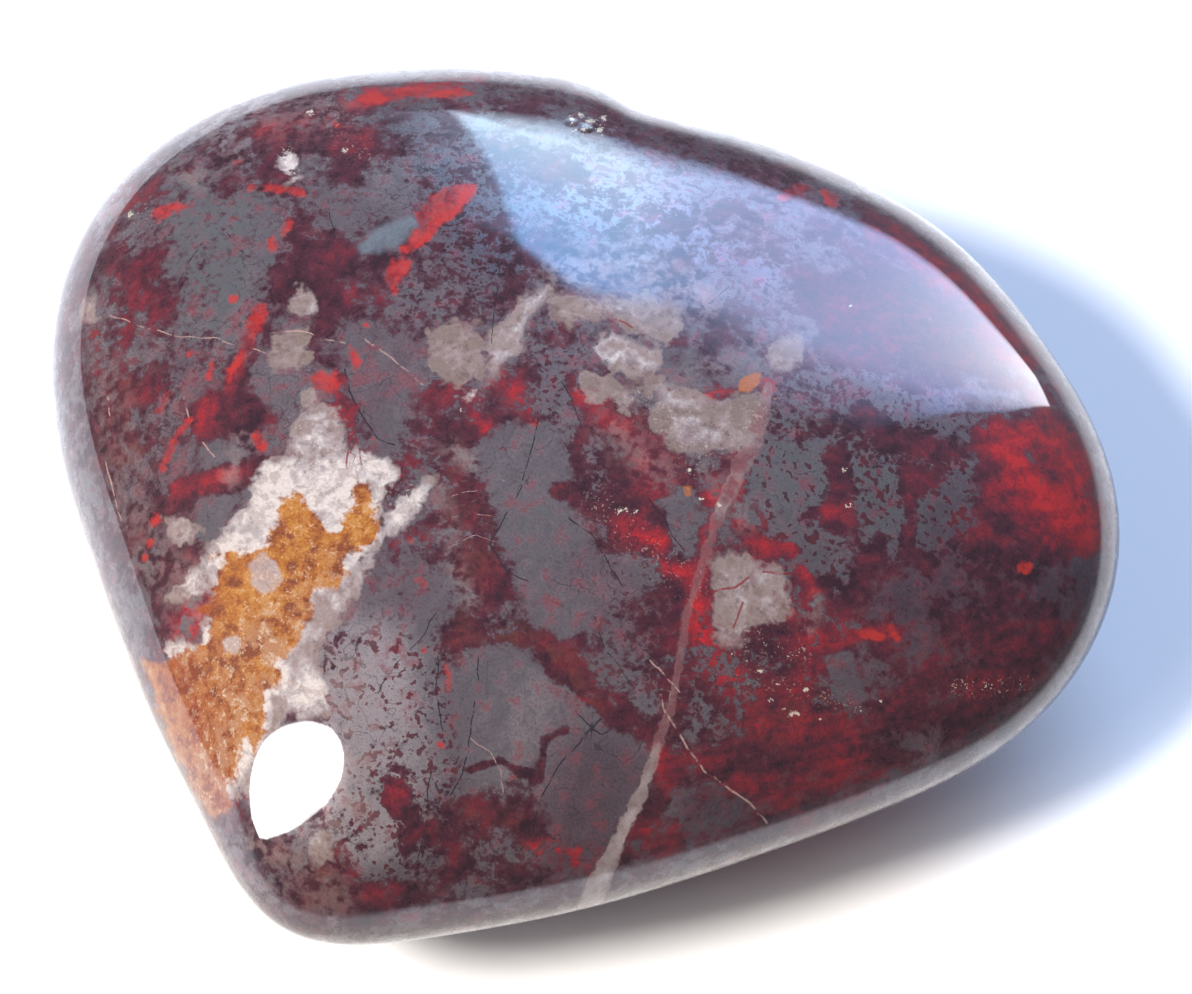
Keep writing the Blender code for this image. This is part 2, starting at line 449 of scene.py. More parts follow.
ironStrokes = [   # line in pixels, radius mm, cover, grain, edge mm
    ([(455, 460), (470, 520), (490, 570), (480, 620), (455, 645)], 1.0, -0.4, 0.8, 0.8),
    ([(455, 640), (500, 635), (540, 640), (565, 670), (600, 700), (630, 728)], 0.5, -0.6, 0.8, 0.6),
    ([(620, 700), (645, 730), (660, 720)], 0.4, -0.8, 0.5, 0.4),
    ([(835, 455), (842, 490), (832, 520), (850, 530)], 0.55, -0.8, 0.5, 0.5),
    ([(905, 470), (912, 520), (905, 550), (925, 570)], 0.25, -0.9, 0.5, 0.4),
    ([(855, 590), (870, 560), (880, 540)], 0.35, -0.8, 0.5, 0.4),
    ([(740, 525), (762, 545), (795, 552)], 0.35, -0.9, 0.4, 0.3),
    ([(755, 500), (765, 525)], 0.15, -1.0, 0.4, 0.2),
    ([(800, 570), (815, 590), (830, 580)], 0.3, -1.0, 0.4, 0.3),
    ([(860, 410), (900, 440), (960, 450)], 0.5, -0.7, 0.6, 0.5),
    ([(560, 490), (600, 500)], 0.5, -0.9, 0.4, 0.3),
    ([(872, 228), (930, 265), (980, 305), (1025, 355)], 0.7, -1.0, 0.2, 0.4),
    ([(470, 770), (500, 760), (540, 780), (545, 740), (565, 730)], 0.2, -0.9, 0.3, 0.3),
    ([(570, 380), (585, 420), (580, 460)], 0.4, -0.7, 0.5, 0.4),
    ([(590, 450), (600, 480), (590, 500)], 0.5, 0.3, 0.9, 0.4),
]

# redness of the jasper between the ore, 0 maroon to 1 bright red: line, radius mm, value, edge mm
redZones = [
    ([(1000, 440), (1050, 440), (1080, 480), (1085, 540), (1060, 520), (1010, 480)], 1.1, 0.8, 1.4),
    ([(1005, 450), (1050, 495), (1080, 520), (1085, 545)], 0.45, 1.0, 0.9),
    ([(960, 520), (1000, 545)], 0.5, 0.75, 0.8),
    ([(590, 410), (640, 440), (680, 470), (640, 490)], 0.9, 0.4, 0.9),
    ([(640, 460), (655, 500)], 0.4, 0.6, 0.8),
    ([(605, 420), (625, 425)], 0.4, 0.75, 0.6),
    ([(620, 525), (660, 540)], 0.6, 0.7, 0.5),
    ([(660, 565), (695, 575)], 0.4, 0.9, 0.5),
    ([(705, 640), (735, 680), (760, 720)], 1.3, 0.72, 1.5),
    ([(716, 470), (712, 530), (700, 580), (695, 620), (712, 650), (730, 680)], 0.45, 1.0, 0.8),
    ([(770, 570), (800, 610), (810, 660), (800, 740)], 0.9, 0.68, 1.3),
    ([(790, 545), (815, 590), (800, 620)], 0.3, 0.95, 0.5),
    ([(500, 380), (525, 405)], 0.7, 0.85, 0.9),
    ([(478, 418), (488, 432)], 0.4, 0.8, 0.6),
    ([(240, 360), (215, 400), (205, 430)], 0.8, 0.45, 1.0),
    ([(255, 130), (300, 125), (360, 135)], 0.7, 0.45, 1.0),
    ([(352, 98), (410, 90), (475, 88)], 0.45, 1.0, 0.6),
    ([(160, 195), (190, 180)], 0.4, 0.8, 0.6),
    ([(290, 255), (330, 260)], 0.9, 0.35, 0.9),
    ([(350, 290), (385, 300)], 0.5, 0.6, 0.7),
    ([(180, 490), (240, 470)], 0.5, 0.7, 0.6),
    ([(320, 380), (340, 385)], 0.5, 0.9, 0.5),
    ([(270, 420), (275, 450)], 0.3, 0.6, 0.5),
    ([(440, 385), (470, 390)], 0.7, 0.5, 0.7),
    ([(770, 775), (830, 782), (900, 770)], 0.4, 0.65, 0.6),
    ([(640, 850), (700, 832), (770, 800)], 0.4, 0.65, 0.7),
    ([(535, 850), (590, 865)], 0.5, 0.85, 0.7),
    ([(650, 750), (720, 770), (790, 800)], 0.5, 0.6, 0.8),
    ([(660, 760), (670, 790)], 0.35, 0.8, 0.5),
    ([(345, 850), (385, 900)], 0.6, 0.5, 0.9),
    ([(880, 225), (930, 265), (975, 300), (1010, 340), (1050, 400)], 0.8, 0.62, 0.7),
    ([(830, 510), (850, 515)], 0.5, 0.65, 0.6),
    ([(910, 480), (950, 488)], 0.4, 0.65, 0.7),
    ([(850, 635), (880, 635), (920, 632)], 0.3, 0.85, 0.6),
    ([(850, 700), (930, 705), (1010, 680)], 1.0, 0.42, 1.6),
    ([(850, 735), (930, 735), (1010, 705)], 1.0, 0.45, 1.2),
    ([(720, 770), (800, 760), (860, 745)], 0.8, 0.35, 1.0),
    ([(820, 615), (860, 630), (900, 640)], 0.8, 0.6, 0.9),
    ([(700, 430), (735, 470), (750, 520), (745, 555)], 0.7, 0.5, 0.8),
    ([(185, 310), (235, 330), (200, 395)], 0.8, 0.45, 1.2),
    ([(120, 190), (140, 215)], 0.6, 0.6, 0.8),
    ([(200, 365), (208, 395), (200, 425)], 0.35, 0.6, 0.5),
    ([(345, 380), (325, 395), (305, 385)], 0.5, 0.7, 0.6),
    ([(530, 850), (560, 845), (600, 853)], 0.3, 1.0, 0.5),
    ([(632, 830), (680, 826)], 0.35, 0.6, 0.6),
    ([(655, 760), (668, 785)], 0.35, 0.8, 0.5),
    ([(690, 795), (755, 790)], 0.2, 0.8, 0.5),
    ([(440, 745), (455, 780)], 0.5, 0.5, 0.8),
    ([(860, 665), (940, 660), (1040, 630)], 0.5, 0.4, 0.8),
    ([(850, 740), (920, 730), (980, 712)], 0.35, 0.62, 0.6),
    ([(820, 770), (880, 755)], 0.3, 0.6, 0.5),
    ([(700, 450), (740, 480), (760, 540)], 0.8, 0.5, 1.0),
    ([(740, 470), (730, 520)], 0.4, 0.7, 0.6),
    ([(400, 575), (425, 590)], 0.4, 0.7, 0.7),
    ([(500, 690), (530, 710)], 0.5, 0.6, 0.8),
    ([(540, 590), (570, 615)], 0.5, 0.6, 0.8),
    ([(110, 290), (130, 340)], 0.6, 0.5, 1.0),
    ([(90, 300), (95, 370)], 0.5, 0.75, 0.7),
    ([(700, 400), (730, 385)], 0.4, 0.8, 0.5),
    ([(580, 395), (600, 400)], 0.4, 0.85, 0.5),
    ([(400, 460), (420, 470)], 0.5, 0.6, 0.6),
    ([(395, 545), (430, 535)], 0.4, 0.75, 0.6),
    ([(130, 240), (150, 330), (110, 400)], 1.4, 0.45, 1.6),
    ([(290, 385), (330, 425), (400, 395)], 1.0, 0.55, 1.2),
    ([(560, 640), (600, 680)], 0.8, 0.45, 1.0),
    ([(810, 640), (850, 700), (840, 760)], 1.0, 0.6, 1.4),
    ([(200, 600), (178, 660), (200, 730), (226, 800)], 0.8, 1.0, 1.6),
    ([(1000, 560), (1060, 590)], 1.2, 0.15, 1.2),
    ([(880, 740), (1000, 720)], 1.2, 0.2, 1.2),
    ([(370, 660), (385, 740), (365, 820)], 1.8, 0.55, 1.6),
    ([(396, 797), (400, 798)], 0.4, 0.7, 0.4),
]

# brown-red net between ore blocks: line, radius mm, value, edge mm
rustZones = [
    ([(455, 470), (470, 520), (480, 560)], 1.3, 0.6, 0.9),
    ([(462, 540), (478, 555), (470, 575)], 0.6, 1.0, 0.7),
    ([(455, 600), (470, 640), (450, 650)], 0.8, 0.85, 0.7),
    ([(500, 632), (540, 640), (565, 665)], 0.7, 0.8, 0.6),
    ([(572, 680), (598, 702)], 0.45, 1.0, 0.5),
    ([(560, 480), (600, 520), (640, 600)], 0.6, 0.4, 1.0),
    ([(130, 440), (140, 465)], 0.6, 0.9, 0.6),
    ([(100, 360), (150, 370), (115, 430), (130, 540)], 0.8, 0.6, 1.0),
    ([(310, 850), (330, 890)], 0.7, 0.8, 0.8),
    ([(320, 880), (310, 910)], 0.5, 0.7, 0.6),
    ([(640, 410), (600, 460)], 0.6, 0.5, 0.9),
    ([(760, 730), (800, 720)], 0.8, 0.5, 1.0),
    ([(470, 800), (510, 830)], 0.9, 0.6, 0.8),
]

# light and dark of the ore, partly painted sheen round the highlight: line, radius mm, value -1 to 1, edge
# mm
oreToneAndSheenZones = [
    # painted sheen: lighter ore round the highlight, standing in for the glow of its reflection
    ([(370, 670), (385, 760), (365, 830)], 2.4, 1.3, 2.0),
    ([(530, 700), (510, 760)], 1.8, 0.35, 1.5),
    ([(600, 770), (580, 830)], 1.8, -0.35, 1.2),
    ([(820, 480), (850, 560), (800, 560)], 2.5, -0.2, 2.0),
    ([(880, 500), (950, 520)], 2.0, -0.55, 2.0),
    ([(970, 640), (1040, 620)], 3.0, -1.0, 2.0),
    ([(900, 600), (940, 590)], 2.0, -0.8, 1.5),
    ([(760, 760), (860, 770)], 2.0, -0.8, 2.0),
    ([(120, 200), (110, 300), (130, 420)], 2.2, 0.15, 2.0),
    ([(900, 240), (1000, 340)], 1.5, -0.8, 1.5),
    ([(1060, 590), (1095, 580)], 1.2, -1.0, 1.0),
    ([(700, 810), (745, 800)], 1.0, -0.9, 0.9),
    # painted sheen: lighter ore above the highlight
    ([(345, 690), (355, 650)], 1.2, 1.0, 1.2),
    ([(620, 120), (760, 170)], 1.2, -0.6, 1.2),
    ([(280, 900), (420, 890)], 1.5, -0.1, 1.4),
    ([(550, 870), (760, 820), (900, 760)], 0.8, -0.6, 0.9),
    ([(230, 130), (330, 130), (400, 170)], 1.6, 0.5, 1.6),
]
# hue of the ore, -1 green grey to 1 purple grey
hueZones = [
    ([(220, 220), (210, 300)], 2.5, -0.9, 2.0),
    ([(530, 450), (540, 540)], 1.8, -0.3, 1.5),
    ([(790, 470), (880, 500)], 2.5, -0.9, 2.0),
    ([(580, 800), (620, 780)], 2.5, 0.9, 2.0),
    ([(960, 600), (900, 680)], 3.5, 1.0, 2.5),
    ([(640, 620), (600, 580)], 2.0, 0.6, 1.5),
    ([(370, 400), (400, 350)], 1.5, 0.5, 1.2),
    ([(180, 380), (140, 480)], 2.0, 0.6, 1.5),
    ([(400, 590), (370, 600)], 2.0, 0.5, 1.5),
    ([(700, 260), (850, 330)], 2.5, 0.5, 2.0),
]

redLenses = [
    [(478, 183), (455, 184), (430, 196), (415, 213), (418, 228), (400, 250), (405, 255),
     (425, 245), (440, 228), (460, 212), (474, 196)],
    [(393, 257), (410, 262), (408, 275), (398, 284), (395, 297), (388, 290), (385, 280), (388, 268)],
    [(257, 300), (266, 305), (270, 312), (262, 325), (254, 340), (246, 356), (236, 372), (228, 390),
     (224, 388), (231, 366), (238, 346), (246, 325), (252, 308)],
    [(150, 218), (158, 205), (175, 203), (195, 203), (190, 208), (172, 213), (160, 222)],
    [(268, 238), (276, 237), (280, 244), (276, 252), (268, 250)],
    [(350, 345), (357, 352), (362, 362), (355, 372), (350, 362)],
    [(310, 375), (320, 372), (330, 378), (335, 370), (340, 385), (335, 395), (322, 392), (312, 388)],
    [(760, 378), (778, 380), (772, 395), (766, 403), (759, 392)],
    [(850, 630), (868, 630), (885, 633), (882, 640), (862, 639)],
    [(778, 198), (800, 184), (812, 188), (800, 196), (785, 203)],
    [(822, 190), (840, 195), (835, 207), (824, 203)],
    [(355, 99), (385, 91), (420, 87), (455, 89), (475, 92), (455, 98), (420, 97), (390, 101), (365, 106)],
]
redStrokes = [   # line, radius mm
    ([(268, 187), (290, 189), (303, 194)], 0.16), ([(289, 221), (283, 233)], 0.17),
    ([(212, 362), (208, 378)], 0.14), ([(167, 395), (160, 412)], 0.15),
    ([(188, 420), (175, 440), (162, 468)], 0.18), ([(258, 436), (261, 447)], 0.3),
    ([(446, 665), (450, 680), (447, 692)], 0.1), ([(545, 597), (558, 605)], 0.14),
    ([(888, 625), (897, 640)], 0.15), ([(575, 697), (590, 702), (600, 704)], 0.1),
    ([(232, 330), (240, 315)], 0.1), ([(205, 400), (200, 415)], 0.12), ([(330, 118), (338, 125)], 0.1),
]
redDots = [   # across, down, radius mm
    (237, 163, 0.16), (250, 187, 0.16), (232, 298, 0.2), (192, 311, 0.16), (190, 353, 0.15),
    (155, 520, 0.25), (149, 543, 0.2), (145, 558, 0.14), (418, 580, 0.2), (424, 585, 0.14),
    (408, 540, 0.12), (438, 512, 0.11), (534, 423, 0.14), (700, 410, 0.11), (722, 390, 0.12),
    (670, 372, 0.14), (440, 745, 0.13), (425, 650, 0.13), (395, 635, 0.13), (1025, 567, 0.3),
    (512, 777, 0.15), (365, 325, 0.13), (372, 440, 0.1), (400, 478, 0.1), (222, 255, 0.1),
]
orangeLenses = [
    [(738, 384), (745, 376), (760, 372), (761, 380), (752, 392), (740, 392)],
    [(682, 487), (690, 486), (692, 494), (685, 497)],
]
slateLenses = [
    [(365, 240), (375, 228), (395, 219), (415, 216), (418, 224), (408, 238), (395, 250),
     (372, 254), (360, 254), (355, 246)],
]

# clear and milky quartz: outline in pixels, tint 0 brown grey, 0.5 pink grey, 1 white
quartzPatches = [
    ([(268, 345), (275, 333), (290, 329), (305, 335), (310, 345), (308, 360), (300, 372),
      (285, 374), (272, 368), (264, 358)], 0.0),
    ([(292, 298), (300, 290), (315, 295), (320, 308), (312, 318), (300, 318), (291, 308)], 0.5),
    ([(430, 332), (455, 318), (475, 322), (483, 340), (487, 360), (480, 380), (462, 386),
      (448, 378), (430, 372), (425, 350)], 0.0),
    ([(470, 385), (480, 388), (478, 400), (466, 406), (458, 400)], 0.7),
    ([(487, 340), (505, 322), (515, 305), (530, 292), (552, 284), (550, 298), (532, 315),
      (524, 335), (522, 352), (505, 362), (492, 375), (486, 362)], 0.5),
    ([(548, 292), (600, 293), (650, 295), (680, 308), (685, 325), (670, 345), (640, 340),
      (615, 322), (590, 318), (570, 325), (552, 318)], 0.15),
    ([(590, 345), (612, 330), (640, 345), (662, 350), (660, 372), (640, 378), (612, 368),
      (592, 360)], 0.55),
    ([(577, 368), (600, 372), (628, 385), (640, 400), (628, 412), (610, 400), (590, 405),
      (578, 392)], 0.15),
    ([(640, 372), (665, 378), (685, 385), (715, 395), (745, 400), (762, 392), (765, 420),
      (755, 450), (735, 455), (700, 450), (680, 450), (665, 440), (650, 420), (655, 400)], 0.12),
    ([(768, 345), (785, 335), (803, 340), (800, 360), (793, 375), (775, 378), (765, 368)], 0.15),
    ([(713, 560), (735, 553), (765, 562), (785, 570), (792, 592), (790, 612), (775, 622),
      (755, 627), (745, 640), (730, 648), (716, 640), (712, 615), (714, 590)], 0.25),
    ([(200, 560), (215, 540), (228, 520), (245, 505), (250, 480), (262, 460), (290, 455),
      (330, 452), (365, 447), (390, 458), (402, 475), (385, 500), (380, 520), (385, 540),
      (365, 560), (350, 585), (330, 600), (320, 620), (310, 640), (300, 680), (290, 710),
      (275, 730), (255, 770), (235, 800), (222, 800), (170, 672), (160, 650), (168, 640),
      (195, 640), (205, 620), (212, 595), (205, 575)], 0.85),
    ([(300, 412), (322, 402), (340, 408), (345, 430), (350, 455), (330, 462), (300, 462),
      (285, 450), (290, 430)], 0.45),
    ([(303, 392), (315, 388), (322, 400), (310, 410), (302, 405)], 0.4),
    ([(385, 515), (395, 500), (412, 488), (430, 478), (432, 488), (425, 505), (410, 522),
      (395, 538), (384, 535)], 0.85),
    ([(305, 600), (325, 590), (350, 570), (375, 545), (382, 550), (370, 580), (350, 605),
      (330, 630), (318, 650), (310, 690), (300, 705), (285, 720), (275, 745), (262, 790),
      (245, 805), (235, 790), (255, 760), (265, 735), (275, 700), (290, 680), (285, 650),
      (300, 625)], 0.4),
    ([(305, 835), (320, 828), (332, 840), (330, 855), (318, 868), (308, 852)], 0.3),
    # painted glint: a cream-white patch for a bright reflection in a fracture
    ([(280, 152), (290, 150), (299, 164), (298, 178), (288, 180), (281, 170)], 1.4),
    ([(82, 300), (95, 298), (98, 318), (88, 330), (80, 320)], 0.4),
    ([(165, 520), (185, 515), (198, 530), (190, 545), (172, 545)], 0.5),
    ([(165, 600), (180, 575), (205, 560), (210, 590), (200, 600), (185, 600)], 0.6),
    # painted halo: a whitish patch beside the highlight that stands in for its glare
    ([(283, 700), (292, 672), (310, 662), (332, 685), (330, 712), (300, 722)], 0.75),
]
paintedGlints = [   # painted glints, tiny white sparks of colour: line, radius mm, amount, edge mm
    ([(600, 500), (640, 545), (690, 580)], 0.8, 0.3, 1.0),
    ([(745, 640), (800, 650)], 0.6, 0.45, 0.8),
    ([(745, 680), (800, 690), (860, 705)], 0.4, 0.35, 0.7),
    ([(960, 687), (1025, 686)], 0.35, 1.0, 0.4),
    ([(788, 708), (798, 716)], 0.25, 1.0, 0.3),
    ([(285, 155), (292, 172)], 0.3, 1.0, 0.4),
    ([(566, 124), (606, 126)], 0.4, 1.0, 0.4),
    ([(330, 520), (270, 600), (220, 700), (215, 780)], 1.6, 0.3, 1.4),
    ([(300, 425), (330, 480)], 0.8, 0.4, 1.0),
    ([(395, 500), (420, 490)], 0.5, 0.5, 0.6),
    ([(640, 400), (700, 440)], 0.8, 0.35, 1.0),
    ([(690, 470), (770, 400)], 0.6, 0.3, 0.8),
    ([(150, 200), (130, 240)], 0.5, 0.3, 0.7),
    ([(330, 100), (360, 150)], 0.6, 0.3, 0.8),
]
# how far the ore shines like metal: line, radius mm, value, edge mm
oreShine = [
    ([(400, 130), (450, 200), (500, 250)], 1.8, 0.6, 1.6),
    ([(560, 195), (640, 215), (700, 245)], 1.6, 0.7, 1.4),
    ([(740, 260), (800, 290)], 0.8, 0.55, 0.8),
    ([(820, 300), (900, 340), (980, 370)], 2.2, 0.0, 1.4),
    ([(640, 300), (760, 330)], 0.8, 0.3, 0.8),
]
quartzSmokeAndSheen = [   # thin milky veil over the ore, and painted sheen round the highlight: line, radius mm, amount, edge mm
    ([(560, 275), (640, 265), (700, 300)], 0.9, 0.5, 1.2),
    ([(640, 400), (700, 370), (760, 360)], 0.6, 0.35, 1.0),
    ([(230, 480), (240, 440)], 0.4, 0.5, 0.6),
    ([(150, 560), (190, 575), (200, 620)], 0.7, 0.45, 0.9),
    ([(490, 380), (515, 330), (545, 290)], 0.3, 0.6, 0.5),
    ([(815, 600), (808, 626)], 0.35, 0.6, 0.4),
    ([(180, 172), (200, 182)], 0.5, 0.5, 0.6),
    ([(205, 135), (235, 130), (225, 160)], 0.4, 0.35, 0.8),
    ([(452, 450), (470, 462)], 0.5, 0.5, 0.5),
    ([(440, 490), (452, 540)], 0.4, 0.35, 0.6),
    ([(455, 570), (470, 600)], 0.5, 0.4, 0.6),
    ([(300, 640), (340, 600), (350, 570)], 0.6, 0.5, 0.8),
    ([(300, 850), (330, 890)], 0.8, 0.3, 1.0),
    ([(270, 690), (290, 650)], 0.4, 0.5, 0.6),
    ([(705, 470), (735, 500), (745, 520)], 0.5, 0.35, 0.8),
    # painted sheen: a milky veil that stands in for the glow beside the highlight
    ([(345, 680), (358, 750), (345, 820)], 0.9, 0.55, 1.4),
    # painted halo at the lower tip of the highlight
    ([(255, 845), (285, 860)], 0.7, 0.5, 1.0),
    ([(610, 430), (660, 470)], 0.8, 0.35, 1.0),
    ([(240, 120), (340, 115)], 0.8, 0.3, 1.2),
    ([(110, 380), (130, 500), (180, 620)], 0.8, 0.25, 1.2),
    ([(260, 885), (340, 905)], 0.8, 0.3, 1.2),
]
wideVein = [
    (768, 388), (762, 418), (755, 440), (743, 463), (730, 490), (716, 521), (706, 552),
    (697, 582), (686, 620), (681, 649), (676, 680), (671, 706), (660, 738), (650, 768),
    (640, 795), (630, 816), (620, 838), (608, 862), (598, 884), (588, 912),
]
wideVeinWidths = [   # half width in mm, along the vein
    0.35, 0.45, 0.5, 0.45, 0.36, 0.24, 0.2, 0.2, 0.2, 0.22, 0.24, 0.26, 0.28, 0.3, 0.33, 0.36,
    0.42, 0.5, 0.6, 0.65,
]
wideVeinTones = [   # stretch of the vein, tone 0 rose to 1 milky, edge mm, radius mm
    (slice(0, 5), 0.1, 0.5, 0.6),
    (slice(5, 13), 0.0, 0.5, 0.5),
    (slice(14, 20), 0.75, 0.8, 0.6),
]

ochreWash = [   # paler, tan part of the ochre, with white grains: line, radius mm, value, edge mm
    ([(270, 640), (240, 700), (215, 770), (200, 800)], 1.6, 1.0, 1.6),
    ([(200, 650), (180, 690)], 0.8, 0.5, 1.0),
    ([(330, 560), (300, 610)], 0.8, 0.45, 1.0),
]
ochrePatch = [
    (275, 515), (282, 500), (300, 492), (310, 508), (325, 520), (330, 530), (342, 530),
    (342, 515), (352, 508), (352, 482), (370, 480), (372, 500), (378, 515), (380, 535),
    (362, 548), (345, 560), (350, 570), (335, 587), (320, 585), (310, 600), (318, 605),
    (305, 622), (298, 648), (285, 655), (275, 662), (285, 680), (270, 690), (262, 700),
    (270, 715), (262, 740), (255, 755), (245, 735), (240, 760), (240, 780), (228, 790),
    (232, 805), (222, 818), (205, 815), (180, 770), (158, 715), (140, 660), (165, 662), (180, 655),
    (205, 640), (210, 620), (200, 610), (210, 600), (215, 580), (225, 560), (212, 555),
    (225, 548), (250, 555), (268, 545), (262, 535), (272, 528),
]
ochreCrystals = [   # white crystals in the ochre
    [(248, 565), (262, 550), (275, 562), (285, 578), (275, 592), (262, 595), (252, 585)],
    [(250, 528), (258, 523), (266, 530), (262, 538), (252, 538)],
    [(320, 514), (330, 511), (338, 518), (334, 527), (324, 527)],
    [(222, 640), (236, 634), (245, 645), (236, 655), (224, 652)],
]

# thin lines in pixels; the last number is the half width in mm
paleVeins = [
    ((112, 316), (145, 327), (180, 337), (215, 338), (233, 344), (262, 352), 0.03),
    ((275, 332), (300, 330), (318, 337), (342, 343), 0.035),
    ((367, 341), (395, 360), (421, 383), 0.045),
    ((661, 697), (668, 718), (680, 735), (692, 755), (704, 772), (717, 780), (735, 792),
     (750, 803), (765, 821), 0.055),
    ((652, 662), (665, 675), (677, 690), 0.045),
    ((107, 465), (113, 490), (120, 517), 0.035),
    ((107, 395), (110, 412), 0.04),
    ((185, 400), (188, 413), 0.04),
    ((205, 445), (213, 455), 0.04),
    ((473, 740), (490, 752), (500, 770), (502, 790), 0.025),
    ((452, 496), (462, 492), (474, 491), 0.015),
    ((448, 520), (470, 512), (488, 515), 0.012),
    ((455, 545), (475, 535), (492, 540), 0.012),
]
darkCracks = [
    ((541, 405), (536, 430), (532, 450), (524, 470), (522, 488), (505, 515), (490, 545),
     (508, 572), (525, 580), 0.035),
    ((478, 660), (477, 690), (472, 720), (468, 750), (462, 775), (452, 794), 0.04),
    ((438, 655), (436, 690), (441, 720), (444, 740), 0.035),
    ((430, 775), (427, 800), (425, 830), (418, 855), 0.035),
    ((600, 720), (585, 735), (560, 765), (540, 800), (533, 830), (522, 848), 0.05),
    ((573, 710), (585, 722), (600, 735), (612, 728), 0.04),
    ((572, 520), (590, 532), (600, 550), (612, 570), (622, 585), 0.04),
    ((650, 500), (665, 520), (675, 540), (683, 550), 0.035),
    ((345, 372), (350, 390), (355, 405), (368, 425), (378, 438), (392, 444), 0.05),
    ((150, 430), (165, 425), 0.03),
    ((200, 245), (190, 260), (180, 280), 0.03),
    ((230, 235), (240, 250), 0.03),
    ((330, 215), (335, 235), 0.03),
    ((562, 385), (572, 400), (580, 425), 0.035),
    ((500, 270), (496, 300), (492, 340), 0.03),
    ((695, 312), (715, 300), (727, 288), 0.03),
    ((610, 655), (620, 668), (630, 685), 0.03),
    ((595, 620), (603, 645), 0.03),
    ((380, 690), (395, 665), (420, 640), (435, 615), 0.03),
]
redThreads = [
    ((345, 410), (349, 440), (347, 468), 0.06),
    ((352, 425), (358, 445), (362, 462), 0.05),
    ((712, 592), (735, 588), (755, 572), (790, 573), 0.07),
    ((600, 300), (612, 318), (640, 330), 0.05),
    ((742, 605), (735, 625), 0.05),
]
glintSpecks = [   # painted glints, white specks of colour: across, down, radius mm
    (572, 118, 0.12), (580, 115, 0.1), (590, 121, 0.16), (603, 119, 0.12), (583, 129, 0.1), (600, 130, 0.1),
    (626, 510, 0.13), (617, 511, 0.09), (635, 512, 0.09), (791, 714, 0.14), (797, 713, 0.1),
    (860, 710, 0.12), (345, 150, 0.12), (130, 215, 0.12), (310, 113, 0.14),
    (745, 662, 0.07), (760, 671, 0.08), (778, 684, 0.06), (790, 655, 0.07),
    (770, 700, 0.08), (732, 655, 0.07), (806, 690, 0.06), (700, 500, 0.07), (688, 470, 0.1),
    (462, 410, 0.1), (720, 505, 0.08), (850, 305, 0.08), (843, 470, 0.09), (848, 505, 0.1),
    (505, 480, 0.06), (880, 700, 0.07), (820, 720, 0.06),
]


# underside, which the photograph doesn't show: the same marks in plan mm, with the tip towards -Y
undersideIron = [   # outline, cover, grain, edge mm
    ([(-24, 4), (-14, 12), (-4, 8), (-6, -2), (-16, -6), (-24, -2)], 0.8, 0.4, 1.6),
    ([(2, 14), (14, 14), (20, 6), (12, 0), (4, 4)], 0.7, 0.8, 1.4),
    ([(-6, -8), (4, -6), (8, -16), (0, -20), (-7, -16)], 0.85, 0.2, 1.2),
    ([(12, -4), (22, -2), (22, -8), (14, -11)], -0.9, 0.4, 1.5),
    ([(-14, 14), (0, 12), (4, 18), (-8, 20)], -0.8, 0.5, 1.5),
]
undersideRed = [    # line, radius mm, value, edge mm
    ([(-20, 12), (-6, 15), (4, 18)], 1.6, 0.6, 1.8),
    ([(10, -8), (20, -3), (26, 2)], 1.8, 0.75, 1.8),
    ([(-12, -6), (-6, -4), (0, 2)], 0.8, 0.7, 1.0),
    ([(2, 2), (12, -2)], 0.7, 0.85, 0.9),
]
undersideQuartz = [   # outline, tint
    ([(-13, 4), (-9, 7), (-5, 5), (-6, 1), (-10, -1), (-14, 1)], 0.35),
    ([(9, 5), (13, 7), (15, 4), (12, 1), (9, 2)], 0.2),
    ([(-19, -9), (-15, -5), (-11, -8), (-9, -13), (-12, -16), (-16, -14)], 0.85),
]
undersideOchre = [
    (-20, -9), (-16, -7), (-13, -10), (-11, -14), (-13, -18), (-17, -15),
]
undersideVein = [(6, -19), (4, -12), (5, -4), (2, 4), (3, 12), (1, 19)]
undersideCracks = [
    ((-16, 10), (-11, 4), (-9, -3), (-3, -9), 0.05),
    ((-4, 16), (0, 9), (7, 6), (11, -2), 0.045),
    ((-8, -14), (-2, -12), (3, -15), 0.05),
    ((14, 12), (17, 5), (16, -3), (20, -8), 0.045),
]
undersidePale = [
    ((-21, 6), (-13, 8), (-6, 13), (2, 13), 0.05),
    ((8, -14), (12, -9), (19, -6), 0.045),
]


def makeCanvases(points, normals):
    # the side that the photograph shows, and the underside
    across, down, lens = toPixels(points)
    toLens = lens - points
    toLens /= np.linalg.norm(toLens, axis=1)[:, None]
    shown = smoothStep(*rockGrain["shownFrom"], np.sum(normals * toLens, axis=1))
    top = Canvas(across, down, shown, photoView["pixelsPerMm"])
    swaySize, swayReach = rockGrain["undersideSway"]
    sway = [stoneNoise(points, swaySize, 3, 0.6, seed) * swayReach for seed in (81, 85)]
    underneath = smoothStep(*rockGrain["undersideFrom"], normals[:, 2])
    below = Canvas(points[:, 0] + sway[0], points[:, 1] + sway[1], underneath, 1.0)
    return top, below


